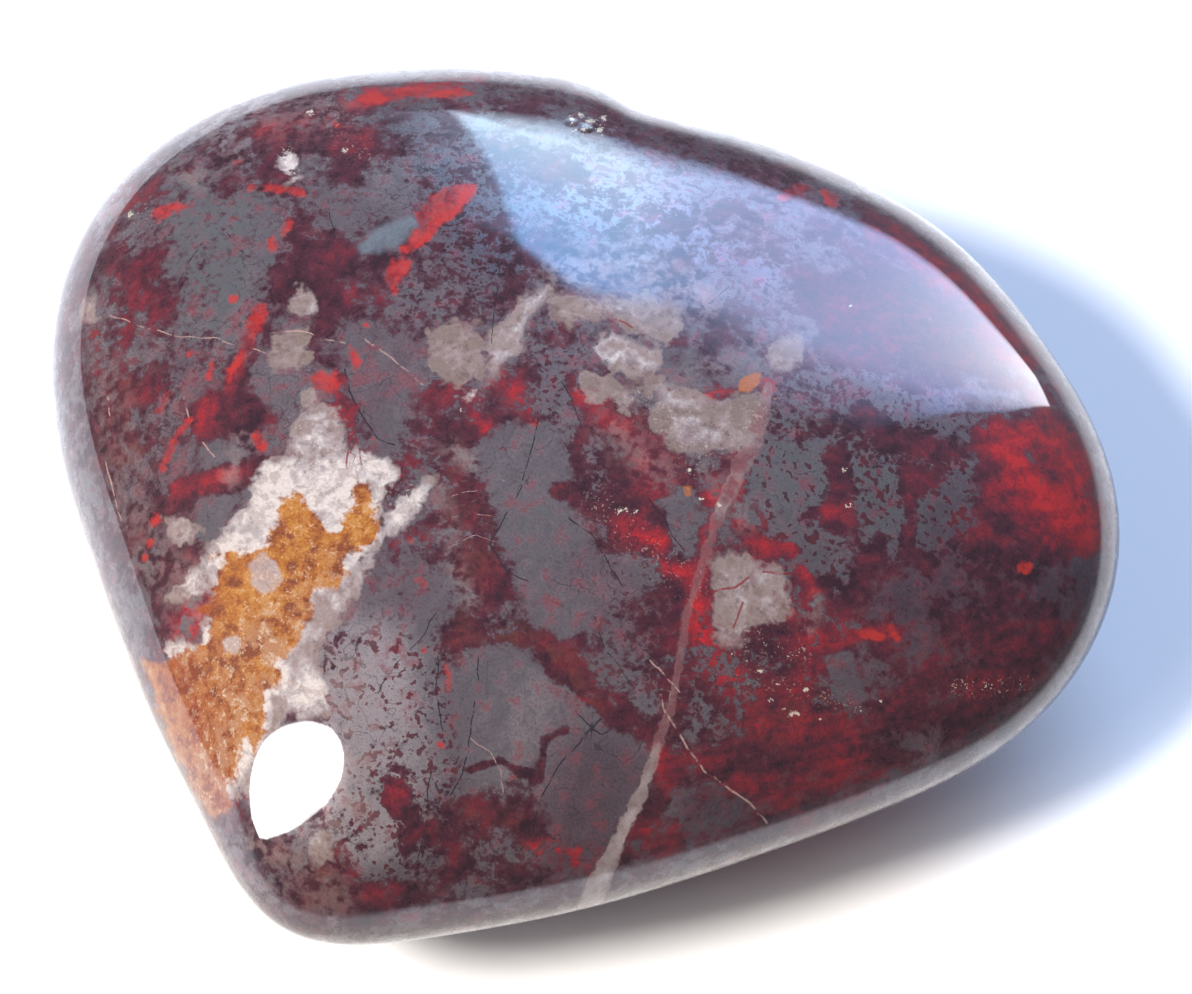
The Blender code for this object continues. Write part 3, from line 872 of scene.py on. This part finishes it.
def paintRock(top, below, points, wavy):
    # broad soft fields: how much ore, how red, how light
    count = len(points)
    cloud = stoneNoise(points, rockGrain["cloudSize"], 2, 0.5, 21)
    iron, grain = np.full(count, 0.0), np.full(count, 0.5)
    for canvas, zones in ((top, ironZones), (below, undersideIron)):
        for outline, cover, speckle, soft in zones:
            brush(iron, canvas, outline, cover, soft)
            brush(grain, canvas, outline, speckle, soft)
    for line, radius, cover, speckle, soft in ironStrokes:
        brush(iron, top, line, cover, soft, False, radius)
        brush(grain, top, line, speckle, soft, False, radius)
    iron += stoneNoise(wavy, rockGrain["oreSize"], 3, 0.66, 31) * (0.75 - 0.35 * grain) + cloud * 0.15
    fields = {"iron": iron, "grain": grain, "cloud": cloud, "streak": stoneStreaks(top, points[:, 2])}
    fields["facet"], fields["joint"] = stoneGrains(wavy, rockGrain["facetSize"], 71)
    for name, zones, start in (("red", redZones, rockGrain["plainRed"]), ("rust", rustZones, 0.0),
                               ("tone", oreToneAndSheenZones, 0.0), ("hue", hueZones, 0.0),
                               ("smoke", quartzSmokeAndSheen, 0.0), ("wash", ochreWash, 0.0),
                               ("glint", paintedGlints, 0.0), ("shine", oreShine, rockGrain["plainShine"])):
        fields[name] = np.full(count, start)
        for line, radius, value, soft in zones:
            brush(fields[name], top, line, value, soft, False, radius)
    for line, radius, value, soft in undersideRed:
        brush(fields["red"], below, line, value, soft, False, radius)
    return fields


def carveMarks(top, below, count):
    # sharp fields: mm to the edge of each kind of mark, and the tone inside it
    names = ("lens", "orange", "slate", "quartz", "vein", "ochre", "crystal", "speck")
    fields = {name: np.full(count, rockGrain["carveLimit"]) for name in names}
    for name, canvas, outlines in (("lens", top, redLenses), ("orange", top, orangeLenses),
                                   ("slate", top, slateLenses), ("ochre", top, [ochrePatch]),
                                   ("ochre", below, [undersideOchre])):
        for outline in outlines:
            carve(fields[name], canvas, outline)
    for line, radius in redStrokes:
        carve(fields["lens"], top, line, False, radius)
    for x, y, radius in redDots:
        carve(fields["lens"], top, dot(x, y), False, radius, 0.8)
    fields["quartzTint"] = np.full(count, 0.5)
    for canvas, patches in ((top, quartzPatches), (below, undersideQuartz)):
        for outline, tint in patches:
            carve(fields["quartz"], canvas, outline)
            brush(fields["quartzTint"], canvas, outline, tint, 0.5)
    for outline in ochreCrystals:
        carve(fields["crystal"], top, outline, True, 0.0, 1.0)
    for x, y, radius in glintSpecks:
        carve(fields["speck"], top, dot(x, y), False, radius, 0.5)
    for i in range(len(wideVein) - 1):
        carve(fields["vein"], top, wideVein[i:i + 2], False, wideVeinWidths[i], 1.0)
    carve(fields["vein"], below, undersideVein, False, 0.3, 1.0)
    fields["veinTone"] = np.full(count, 0.45)
    for stretch, value, soft, radius in wideVeinTones:
        brush(fields["veinTone"], top, wideVein[stretch], value, soft, False, radius)
    return fields


def drawThinLines(top, below, points):
    wanderSize, wanderReach = rockGrain["lineWander"]
    wander = stoneNoise(points, wanderSize, 2, 0.5, 41) * wanderReach
    vectors = {}
    for name, lines, lowerLines in (("paleVein", paleVeins, undersidePale), ("redThread", redThreads, []),
                                    ("darkCrack", darkCracks, undersideCracks)):
        drawn, lower = drawLines(top, lines, wander), drawLines(below, lowerLines, wander)
        vectors[name] = np.where(lower[:, 1:2] > 0, lower, drawn)
    return vectors


def wearTheShape(top, points, normals):
    # the flats and pits of the hand polish
    for x, y, reach, share in polishedFlats:
        middle = np.argmin(np.hypot(top.across - x, top.down - y) - top.shown * 50)
        centre, facing = points[middle], normals[middle]
        gap = np.linalg.norm(points - centre, axis=1)
        sink = (points - centre) @ facing + 0.03 * reach
        points = points - facing * (sink * share * smoothStep(reach, reach * 0.35, gap))[:, None]
    for x, y, radius, depth in surfacePits:
        gap = top.distance(dot(x, y), False, 1.0)
        points = points - normals * (depth * smoothStep(radius, radius * 0.2, gap))[:, None]
    return points


def markTheStone(mesh, points, normals):
    # the markings as attributes of the mesh, and its points with flats and pits
    top, below = makeCanvases(points, normals)
    warp = [stoneNoise(points, rockGrain["warpSize"], 2, 0.5, seed) for seed in (11, 12, 13)]
    wavy = points + np.stack(warp, axis=1) * rockGrain["warpReach"]
    fields = paintRock(top, below, points, wavy) | carveMarks(top, below, len(points))
    vectors = drawThinLines(top, below, points) | {"wavy": wavy}
    for name, values in fields.items():
        mesh.attributes.new(name, "FLOAT", "POINT").data.foreach_set("value", values)
    for name, values in vectors.items():
        mesh.attributes.new(name, "FLOAT_VECTOR", "POINT").data.foreach_set("vector", values.ravel())
    print("markings:", len(mesh.attributes), "attributes")
    return wearTheShape(top, points, normals)


# material
class Wire:
    # an output in the node tree, used in sums like a number
    def __init__(self, tree, socket=None):
        self.tree, self.socket = tree, socket

    def node(self, kind, settings, sockets, output=0):
        made = self.tree.nodes.new(kind)
        for name, value in settings.items():
            if name == "stops":
                elements = made.color_ramp.elements
                while len(elements) < len(value):
                    elements.new(1.0)
                for element, (place, colour) in zip(elements, value):
                    element.position = place
                    element.color = colour
            else:
                setattr(made, name, value)
        for key, value in sockets.items():
            if isinstance(value, Wire):
                self.tree.links.new(value.socket, made.inputs[key])
            else:
                made.inputs[key].default_value = value
        return Wire(self.tree, made.outputs[output] if len(made.outputs) else None)

    def maths(self, operation, *values):
        return self.node("ShaderNodeMath", {"operation": operation}, dict(enumerate(values)))

    def __add__(self, other):
        return self.maths("ADD", self, other)

    def __radd__(self, other):
        return self.maths("ADD", other, self)

    def __sub__(self, other):
        return self.maths("SUBTRACT", self, other)

    def __rsub__(self, other):
        return self.maths("SUBTRACT", other, self)

    def __mul__(self, other):
        return self.maths("MULTIPLY", self, other)

    def __rmul__(self, other):
        return self.maths("MULTIPLY", other, self)

    def __truediv__(self, other):
        return self.maths("DIVIDE", self, other)

    def __abs__(self):
        return self.maths("ABSOLUTE", self)

    def clamp(self):
        return self.node("ShaderNodeClamp", {}, {0: self})

    def ease(self, low, high):
        # 0 below low, 1 above high, smooth between; low may be the larger one
        settings = {"interpolation_type": "SMOOTHSTEP", "clamp": True}
        if low > high:
            return 1 - self.ease(high, low)
        return self.node("ShaderNodeMapRange", settings, {0: self, 1: low, 2: high, 3: 0.0, 4: 1.0})

    def mix(self, first, second):
        # colour: first where this is 0, second where it is 1
        settings = {"data_type": "RGBA", "blend_type": "MIX", "clamp_factor": True}
        return self.node("ShaderNodeMix", settings, {0: self, 6: first, 7: second}, 2)

    def dim(self, colour):
        # a colour times this value
        settings = {"data_type": "RGBA", "blend_type": "MULTIPLY", "clamp_factor": True}
        return self.node("ShaderNodeMix", settings, {0: 1.0, 6: colour, 7: self}, 2)

    def ramp(self, *stops):
        return self.node("ShaderNodeValToRGB", {"stops": stops}, {0: self})

    def attribute(self, name, output="Fac"):
        return self.node("ShaderNodeAttribute", {"attribute_name": name}, {}, output)

    def noise(self, size, detail, roughness, shift=(0, 0, 0)):
        # around 0, with lumps of this size in mm; this is the place on the stone in mm
        place = self.node("ShaderNodeVectorMath", {"operation": "ADD"}, {0: self, 1: shift})
        sockets = {"Vector": place, "Scale": 1.0 / size, "Detail": detail, "Roughness": roughness}
        return self.node("ShaderNodeTexNoise", {}, sockets, "Fac") - 0.5


def seen(red, green, blue, lift=0.62):
    # base colour for an 8-bit colour as it is seen on the lit stone
    colour = []
    for value in (red, green, blue):
        value /= 255
        linear = value / 12.92 if value < 0.04045 else ((value + 0.055) / 1.055) ** 2.4
        colour.append(linear * lift)
    return (*colour, 1.0)


jaspilite = {
    # noises: size mm, detail, roughness and shift mm of the flecks, mottle, fine grain, blobs and swirl
    "noises": (
        (0.5, 3.0, 0.58), (1.0, 2.0, 0.58, (40, 10, 0)), (0.13, 1.0, 0.5, (0, 20, 0)),
        (0.36, 1.0, 0.4, (9, 0, 5)), (2.0, 2.0, 0.5, (0, 0, 30)),
    ),
    "maroonDark": seen(54, 31, 41),
    "maroon": seen(86, 41, 53),
    "maroonRed": seen(124, 43, 54),
    "red": seen(168, 42, 50),
    "brightRed": seen(203, 46, 50),
    "lensRed": seen(200, 54, 48),
    "lensRedDeep": seen(138, 34, 44),
    "orange": seen(204, 120, 62),
    # light ore, also the colour of the painted sheen round the highlight
    "oreLightAndSheen": seen(148, 138, 141, 0.78),
    "ore": seen(108, 100, 105, 0.72),
    "oreDark": seen(76, 66, 75, 0.70),
    "oreGreen": seen(100, 103, 105, 0.72),
    "plum": seen(102, 82, 90, 0.72),
    "plumDark": seen(72, 54, 65, 0.70),
    "oreBlush": seen(142, 70, 80),
    "between": seen(92, 56, 66),
    "betweenGrey": seen(96, 78, 86),
    "slate": seen(112, 122, 130),
    "rust": seen(116, 64, 56),
    "quartzBrown": seen(142, 122, 114),
    "quartzPink": seen(166, 146, 142),
    "quartzMilk": seen(192, 180, 178),
    "quartzWhite": seen(228, 214, 206),
    "ochreGold": seen(172, 98, 28),
    "ochreDeep": seen(132, 64, 28),
    "ochreBright": seen(194, 126, 44),
    "ochrePale": seen(208, 156, 96),
    "ochreRust": seen(152, 58, 34),
    "ochreTan": seen(182, 132, 100),
    "grainCream": seen(206, 178, 150),
    # painted glints: the colour of the white specks and sparks
    "glintCream": seen(240, 226, 204),
    "veinRose": seen(142, 96, 98),
    "crack": seen(40, 36, 46),
    "veinPale": seen(196, 160, 150),
    "oreRoughness": 0.24,
    "jasperRoughness": 0.45,
    "specularLevel": 0.08,          # of the rock under its polish
    "polish": 0.045,                # roughness of the polished skin
    "coatIor": 1.7,
    "bump": (0.2, 0.00003),         # strength, and depth in m
}


def makeJaspilite():
    tones = jaspilite
    material = bpy.data.materials.new("polishedJaspilite")
    material.use_nodes = True
    tree = material.node_tree
    shader = tree.nodes["Principled BSDF"]
    start = Wire(tree)
    place = start.attribute("wavy", "Vector")
    flecks, mottle, fine, blobs, swirl = (place.noise(*noise) for noise in tones["noises"])
    cloud = start.attribute("cloud")
    streak = start.attribute("streak")
    facet = start.attribute("facet")
    joint = start.attribute("joint")

    # jasper between the ore
    redness = start.attribute("red") + cloud * 0.08 + streak * 0.2
    redness = redness + mottle * 0.8 + flecks * 0.7 + fine * 0.4
    colour = redness.ramp((0.0, tones["maroonDark"]), (0.30, tones["maroon"]), (0.55, tones["maroonRed"]),
                          (0.82, tones["red"]), (1.0, tones["brightRed"]))

    # brown-red net
    rust = start.attribute("rust")
    net = (joint + flecks * 0.25).ease(0.14, 0.02)
    colour = (rust * (0.4 - net * 0.3 + facet * 0.7 + mottle)).mix(colour, tones["rust"])

    # grey iron ore: broad soft islands to fine speckle
    grain = start.attribute("grain")
    oreness = start.attribute("iron") + flecks * (1.6 + grain * 1.4) + mottle
    oreness = oreness + fine * (0.1 + grain * 0.5)
    edge = 0.58 - grain * 0.32
    ore = (oreness / edge * 0.5 + 0.5).ease(0.0, 1.0)
    oreTone = start.attribute("tone") * 0.45 + cloud * 0.08 + streak * 0.08
    oreTone = oreTone + mottle * 0.6 + fine * 0.35 + 0.45
    oreColour = oreTone.ramp((0.0, tones["oreDark"]), (0.5, tones["ore"]), (1.0, tones["oreLightAndSheen"]))
    hue = start.attribute("hue") + mottle * 3.0 + cloud * 0.4 + 0.2
    oreColour = (hue.ease(0.0, 1.2) * 0.8).mix(oreColour, oreTone.ramp(
        (0.0, tones["plumDark"]), (0.5, tones["plum"]), (1.0, tones["oreLightAndSheen"])))
    oreColour = (hue.ease(0.0, -1.2) * 0.7).mix(oreColour, tones["oreGreen"])
    blush = (mottle + streak * 0.04 + cloud * 0.03).ease(0.03, 0.2)
    oreColour = (blush * 0.55).mix(oreColour, tones["oreBlush"])
    veinlet = abs(swirl - 0.07 + flecks * 0.05).ease(0.012, 0.003) * (mottle * 2.0 - cloud).ease(-0.1, 0.5)
    oreColour = (veinlet * grain * 0.7).mix(oreColour, tones["maroonRed"])
    between = (mottle * 1.5 - flecks + 0.5).mix(tones["between"], tones["betweenGrey"])
    colour = (ore * 1.8).mix(colour, between)
    colour = (ore * 2.0 - 0.9).mix(colour, oreColour)
    spots = (blobs * 0.8 + flecks * 0.7 + mottle * 0.4).ease(0.085, 0.13) * (grain * 1.3 - 0.15).clamp()
    spotColour = (start.attribute("red") + mottle * 1.2).mix(tones["maroonDark"], tones["maroonRed"])
    colour = (spots * 0.85).mix(colour, spotColour)
    speckle = (fine - flecks * 0.4).ease(0.10, 0.17) * (0.1 + grain * 0.35)
    colour = speckle.mix(colour, tones["maroonDark"])
    contour = abs(swirl + fine * 0.01).ease(0.008, 0.002) * (cloud + flecks * 3.0).ease(-0.4, 0.4)
    colour = (contour * 0.5).mix(colour, tones["crack"])

    # thin milky veil, and painted sheen round the highlight
    veilAndSheen = start.attribute("smoke") * (mottle + flecks).ease(-0.16, 0.14)
    colour = veilAndSheen.mix(colour, tones["quartzPink"])

    # slate and red lenses
    slate = (start.attribute("slate") + flecks * 0.6).ease(0.15, -0.25)
    colour = (slate * (0.7 + mottle * 1.2)).mix(colour, tones["slate"])
    lens = (start.attribute("lens") - flecks * 0.7 + mottle * 0.5).ease(0.15, -0.17)
    lensTone = (mottle + streak * 0.12 + fine * 0.6).ease(-0.12, 0.16)
    lensColour = lensTone.mix(tones["lensRed"], tones["lensRedDeep"])
    colour = (lens * (0.78 - streak * 0.18)).mix(colour, lensColour)
    orange = (start.attribute("orange") + flecks * 0.4).ease(0.08, -0.08)
    colour = (orange * 0.75).mix(colour, tones["orange"])

    # quartz, clearer at its edges
    tint = start.attribute("quartzTint") - start.attribute("quartz") * 0.14 + mottle * 1.2 + flecks * 0.8
    tint = tint + facet * 0.55 + joint.ease(0.1, 0.0) * 0.1
    quartzColour = tint.ramp((0.0, tones["quartzBrown"]), (0.45, tones["quartzPink"]),
                             (0.75, tones["quartzMilk"]), (1.0, tones["quartzWhite"]))
    quartzEdge = start.attribute("quartz") + flecks * 1.2 + mottle * 1.2 + facet * 0.45
    quartz = quartzEdge.ease(0.16, -0.28)
    stain = (mottle - flecks + facet * 0.1).ease(0.0, 0.15)
    quartz = quartz * (0.96 - stain * 0.3)
    colour = quartz.mix(colour, quartzColour)

    # wide pale vein
    veinTone = start.attribute("veinTone") + mottle * 1.4 + flecks * 0.7
    vein = (start.attribute("vein") + flecks * 0.5 + mottle * 0.5).ease(0.06, -0.09)
    vein = vein * (0.66 + veinTone * 0.3)
    colour = vein.mix(colour, veinTone.ramp((0.0, tones["veinRose"]), (0.45, tones["quartzPink"]),
                                            (1.0, tones["quartzMilk"])))

    # ochre
    ochreTone = swirl * 1.4 + mottle * 2.0 + flecks * 1.3 + facet * 0.3 + fine * 0.5 + 0.42
    ochreColour = ochreTone.ramp((0.05, tones["ochreDeep"]), (0.35, tones["ochreGold"]),
                                 (0.65, tones["ochreBright"]), (1.0, tones["ochrePale"]))
    ochreColour = (start.attribute("red") * 0.9 - 0.25 + mottle).clamp().mix(ochreColour, tones["ochreRust"])
    wash = start.attribute("wash")
    tan = wash * (mottle + flecks * 0.8).ease(-0.12, 0.10) * 0.75
    ochreColour = tan.mix(ochreColour, tones["ochreTan"])
    grains = (blobs * 0.7 + flecks * 0.7 + fine * 0.3).ease(0.09, 0.15) * (0.05 + wash * 0.6)
    ochreColour = grains.mix(ochreColour, tones["grainCream"])
    ochre = (start.attribute("ochre") + flecks * 1.1 - mottle * 0.8).ease(0.12, -0.22)
    colour = (ochre * 0.96).mix(colour, ochreColour)
    crystal = (start.attribute("crystal") + flecks * 0.35).ease(0.08, -0.12)
    colour = (crystal * (0.6 + facet * 0.3)).mix(colour, tones["quartzMilk"])

    # thin lines
    for name, tint, strength in (("redThread", tones["lensRedDeep"], 0.8),
                                 ("paleVein", tones["veinPale"], 0.85), ("darkCrack", tones["crack"], 0.85)):
        parts = start.node("ShaderNodeSeparateXYZ", {}, {0: start.attribute(name, "Vector")})
        side, near, half = (Wire(tree, output) for output in parts.socket.node.outputs)
        line = (1 - (abs(side + flecks * 0.1) / (half + 0.001)).ease(0.6, 1.3)) * near.ease(0.05, 0.5)
        broken = (flecks - mottle).ease(-0.16, 0.02)
        colour = (line * broken * strength).mix(colour, tint)

    # painted glints: cream-white specks and sparks of colour where crystals catch the light
    speck = (start.attribute("speck") + flecks * 0.5 + fine * 0.4).ease(0.03, -0.04)
    glint = (fine + blobs * 0.5 + flecks * 0.15).ease(0.17, 0.21) * start.attribute("glint")
    colour = (speck * 0.8 + glint * 0.8).mix(colour, tones["glintCream"])
    colour = (1.0 + fine * 0.5).dim(colour)

    tree.links.new(colour.socket, shader.inputs["Base Color"])
    metal = ore * (1 - (quartz + ochre + lens + slate).clamp())
    tree.links.new((metal * start.attribute("shine")).socket, shader.inputs["Metallic"])
    smoother = tones["oreRoughness"] - tones["jasperRoughness"]
    rough = tones["jasperRoughness"] + metal * smoother + mottle * 0.15
    tree.links.new(rough.socket, shader.inputs["Roughness"])
    shader.inputs["Specular IOR Level"].default_value = tones["specularLevel"]
    shader.inputs["Coat Weight"].default_value = 1.0
    shader.inputs["Coat Roughness"].default_value = tones["polish"]
    shader.inputs["Coat IOR"].default_value = tones["coatIor"]
    strength, depth = tones["bump"]
    bump = start.node("ShaderNodeBump", {}, {"Strength": strength, "Distance": depth, "Height": fine})
    tree.links.new(bump.socket, shader.inputs["Normal"])
    print("material:", len(tree.nodes), "nodes")
    return material


# the stone
makeCamera()
stoneMesh, stonePlace, stoneNormals = makeStoneMesh()
stonePlace = markTheStone(stoneMesh, stonePlace, stoneNormals)
stoneMesh.vertices.foreach_set("co", (stonePlace * mm).ravel())
stoneMesh.update()
stoneMesh.shade_smooth()
stoneMesh.materials.append(makeJaspilite())
stone = bpy.data.objects.new("polishedHeart", stoneMesh)
bpy.context.scene.collection.objects.link(stone)
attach(stone, "root")
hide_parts("heart")

# table, light and panels
studio = {
    "table": ((-110, 115, 46), (-70, 110, 37)),     # across and away, as the lens sees them: mm, mm, rows
    "tableColour": (0.90, 0.90, 0.90),
    # where the table greys out, beyond the picture: direction across and away, from mm, to mm, share
    "tableFades": ((0.5, 0.87, 47, 100, 0.85), (-0.4, -0.92, 43, 62, 0.8), (0.7, -0.7, 40, 55, 0.82)),
    # suns: to the right, away from the lens, up; strength; radians across
    "keys": ((-0.632, -0.240, 0.737, 4.8, 0.28), (-0.585, -0.377, 0.719, 0.9, 0.36)),
    "keyColour": (1.0, 0.96, 0.91),
    # soft sky panel, column by column: degrees to the right of away, where its lower fade starts, lower and
    # upper edge, end of the upper fade, and its glow at the lower and upper edge
    "skyPanel": (
        (-9.5, 14, 18, 46, 47, (0.2, 0.2, 0.2), (0.2, 0.2, 0.2)),
        (-4.5, 14, 18, 49, 50, (1.2, 1.6, 2.2), (0.8, 1.3, 2.1)),
        (-3.8, 14, 18, 50, 51, (5.8, 8.0, 10.0), (2.2, 4.8, 9.0)),
        (0, 14, 25, 53, 55, (5.9, 8.1, 10.0), (2.2, 4.6, 8.7)),
        (8, 14, 28, 53, 56, (5.8, 7.8, 10.0), (2.4, 4.4, 7.8)),
        (13, 13, 27, 51.5, 57, (4.1, 5.6, 8.6), (2.4, 3.7, 6.4)),
        (20, 10, 16, 50, 58, (2.9, 3.7, 6.2), (2.7, 3.6, 5.9)),
        (27, 4.5, 10.5, 48.5, 59, (3.0, 3.7, 6.3), (3.0, 3.9, 6.5)),
        (33, 1.5, 6.5, 47.5, 60, (3.3, 4.0, 6.7), (3.3, 4.2, 6.9)),
        (38, -1, 2.5, 45, 60, (5.0, 5.7, 7.8), (3.4, 4.2, 7.0)),
        (43, -2, -1, 42, 58, (8.2, 8.4, 9.4), (3.0, 3.7, 6.4)),
        (47.5, 2, 3, 36, 55, (8.0, 8.2, 9.4), (2.6, 3.4, 6.2)),
        (50.5, 24, 25, 40, 54, (1.0, 1.4, 2.6), (0.8, 1.2, 2.4)),
    ),
    "skyRows": 8,
    "skyFaint": (0.4, 0.38),                 # how far up its upper fade the panel is faint, and how faint
    "keyPanel": (
        (-93, 44), (-92.5, 34), (-94, 26), (-97, 18), (-101, 10), (-107.5, 6.5), (-111, 15), (-113, 28),
        (-114.5, 41), (-118, 50), (-117, 55), (-112, 58.5), (-105, 59), (-98, 57), (-94, 51),
    ),
    "keyPanelColour": (1.0, 1.0, 1.0, 1.0),
    "keyPanelStrength": 14.0,
    "panelDistance": 1.2,                    # m
    "roomColour": (0.195, 0.17, 0.19, 1.0),
    "skyFill": ((-10, 12), (50, 12), (50, 54), (-10, 54)),   # the panel that lights the shadows
    "skyFillColour": (0.44, 0.64, 1.0, 1.0),
    "skyFillStrength": 6.7,
}


def addStage(name, corners, faces):
    mesh = bpy.data.meshes.new(name)
    mesh.from_pydata(corners, [], faces)
    item = bpy.data.objects.new(name, mesh)
    bpy.context.scene.collection.objects.link(item)
    material = bpy.data.materials.new(name)
    material.use_nodes = True
    mesh.materials.append(material)
    return item, material.node_tree


def studioAxes():
    # across and away from the lens, along the table, and up from it
    right, rise = viewAxes()[0], Vector((0, 0, 1))
    return right, rise.cross(right), rise


def makeTable():
    right, away, rise = studioAxes()
    across, along = (np.linspace(*edge) for edge in studio["table"])
    x, y = (grid.ravel() for grid in np.meshgrid(across, along))
    shade = np.ones(len(x))
    for sideways, onward, start, end, share in studio["tableFades"]:
        shade *= 1 - share * smoothStep(start, end, x * sideways + y * onward)
    corners = [(right * a + away * b) * mm for a, b in zip(x.tolist(), y.tolist())]
    row = len(across)
    faces = [(i, i + 1, i + row + 1, i + row) for i in range(len(x) - row) if i % row < row - 1]
    table, tree = addStage("paleTable", corners, faces)
    pale = np.append(shade[:, None] * studio["tableColour"], np.ones((len(x), 1)), axis=1)
    table.data.attributes.new("pale", "FLOAT_COLOR", "POINT").data.foreach_set("color", pale.ravel())
    shader = tree.nodes["Principled BSDF"]
    tree.links.new(Wire(tree).attribute("pale", "Color").socket, shader.inputs["Base Color"])
    shader.inputs["Roughness"].default_value = 0.9
    shader.inputs["Specular IOR Level"].default_value = 0.0


def makeKeys():
    right, away, rise = studioAxes()
    for number, (x, y, z, strength, angle) in enumerate(studio["keys"]):
        direction = (right * x + away * y + rise * z).normalized()
        data = bpy.data.lights.new("key", "SUN")
        data.energy = strength
        data.color = studio["keyColour"]
        data.angle = angle
        key = bpy.data.objects.new("key" + str(number), data)
        key.rotation_euler = direction.to_track_quat("Z", "Y").to_euler()
        key.location = direction
        key.visible_glossy = False      # the key panel gives its highlight
        bpy.context.scene.collection.objects.link(key)


def panelPlace(turn, height):
    right, away, rise = studioAxes()
    a, e = math.radians(turn), math.radians(height)
    level = right * math.sin(a) + away * math.cos(a)
    return (level * math.cos(e) + rise * math.sin(e)) * studio["panelDistance"]


def makePanel(name, outline, colour, strength):
    corners = [panelPlace(*corner) for corner in outline]
    panel, tree = addStage(name, corners, [tuple(range(len(corners)))])
    tree.nodes.clear()
    glow = Wire(tree).node("ShaderNodeEmission", {}, {0: colour, 1: strength})
    glow.node("ShaderNodeOutputMaterial", {}, {0: glow})
    panel.visible_shadow = False
    return panel


def makeSkyPanel():
    columns, rows, room = studio["skyPanel"], studio["skyRows"], studio["roomColour"][:3]
    faintFrom, faintShare = studio["skyFaint"]
    corners, glows = [], []
    for turn, start, low, high, end, lowGlow, highGlow in columns:
        faint = [a * faintShare + b * (1 - faintShare) for a, b in zip(highGlow, room)]
        steps = [(start, room)]
        for row in range(rows + 1):
            t = row / rows
            steps.append((low + (high - low) * t, [a + (b - a) * t for a, b in zip(lowGlow, highGlow)]))
        steps += [(high + (end - high) * faintFrom, faint), (end, room)]
        corners += [panelPlace(turn, height) for height, _ in steps]
        glows += [(*glow, 1.0) for _, glow in steps]
    step = rows + 4
    faces = [(i * step + j, (i + 1) * step + j, (i + 1) * step + j + 1, i * step + j + 1)
             for i in range(len(columns) - 1) for j in range(step - 1)]
    panel, tree = addStage("skyPanel", corners, faces)
    glowing = panel.data.attributes.new("glow", "FLOAT_COLOR", "POINT")
    glowing.data.foreach_set("color", [value for glow in glows for value in glow])
    tree.nodes.clear()
    light = Wire(tree)
    glow = light.node("ShaderNodeEmission", {}, {0: light.attribute("glow", "Color"), 1: 1.0})
    glow.node("ShaderNodeOutputMaterial", {}, {0: glow})
    panel.visible_diffuse = False
    panel.visible_shadow = False


def makeRoom():
    world = bpy.data.worlds.new("room")
    world.use_nodes = True
    tree = world.node_tree
    straight = Wire(tree).node("ShaderNodeLightPath", {}, {}, "Is Camera Ray")
    colour = straight.mix(studio["roomColour"], (1.0, 1.0, 1.0, 1.0))
    tree.links.new(colour.socket, tree.nodes["Background"].inputs[0])
    bpy.context.scene.world = world
    bpy.context.scene.view_settings.view_transform = "Standard"


makeTable()
makeKeys()
makeSkyPanel()
keyPanel = makePanel("keyPanel", studio["keyPanel"], studio["keyPanelColour"], studio["keyPanelStrength"])
keyPanel.visible_diffuse = False
skyFill = makePanel("skyFill", studio["skyFill"], studio["skyFillColour"], studio["skyFillStrength"])
skyFill.visible_glossy = False
makeRoom()
print("studio: table, key, panels and room")
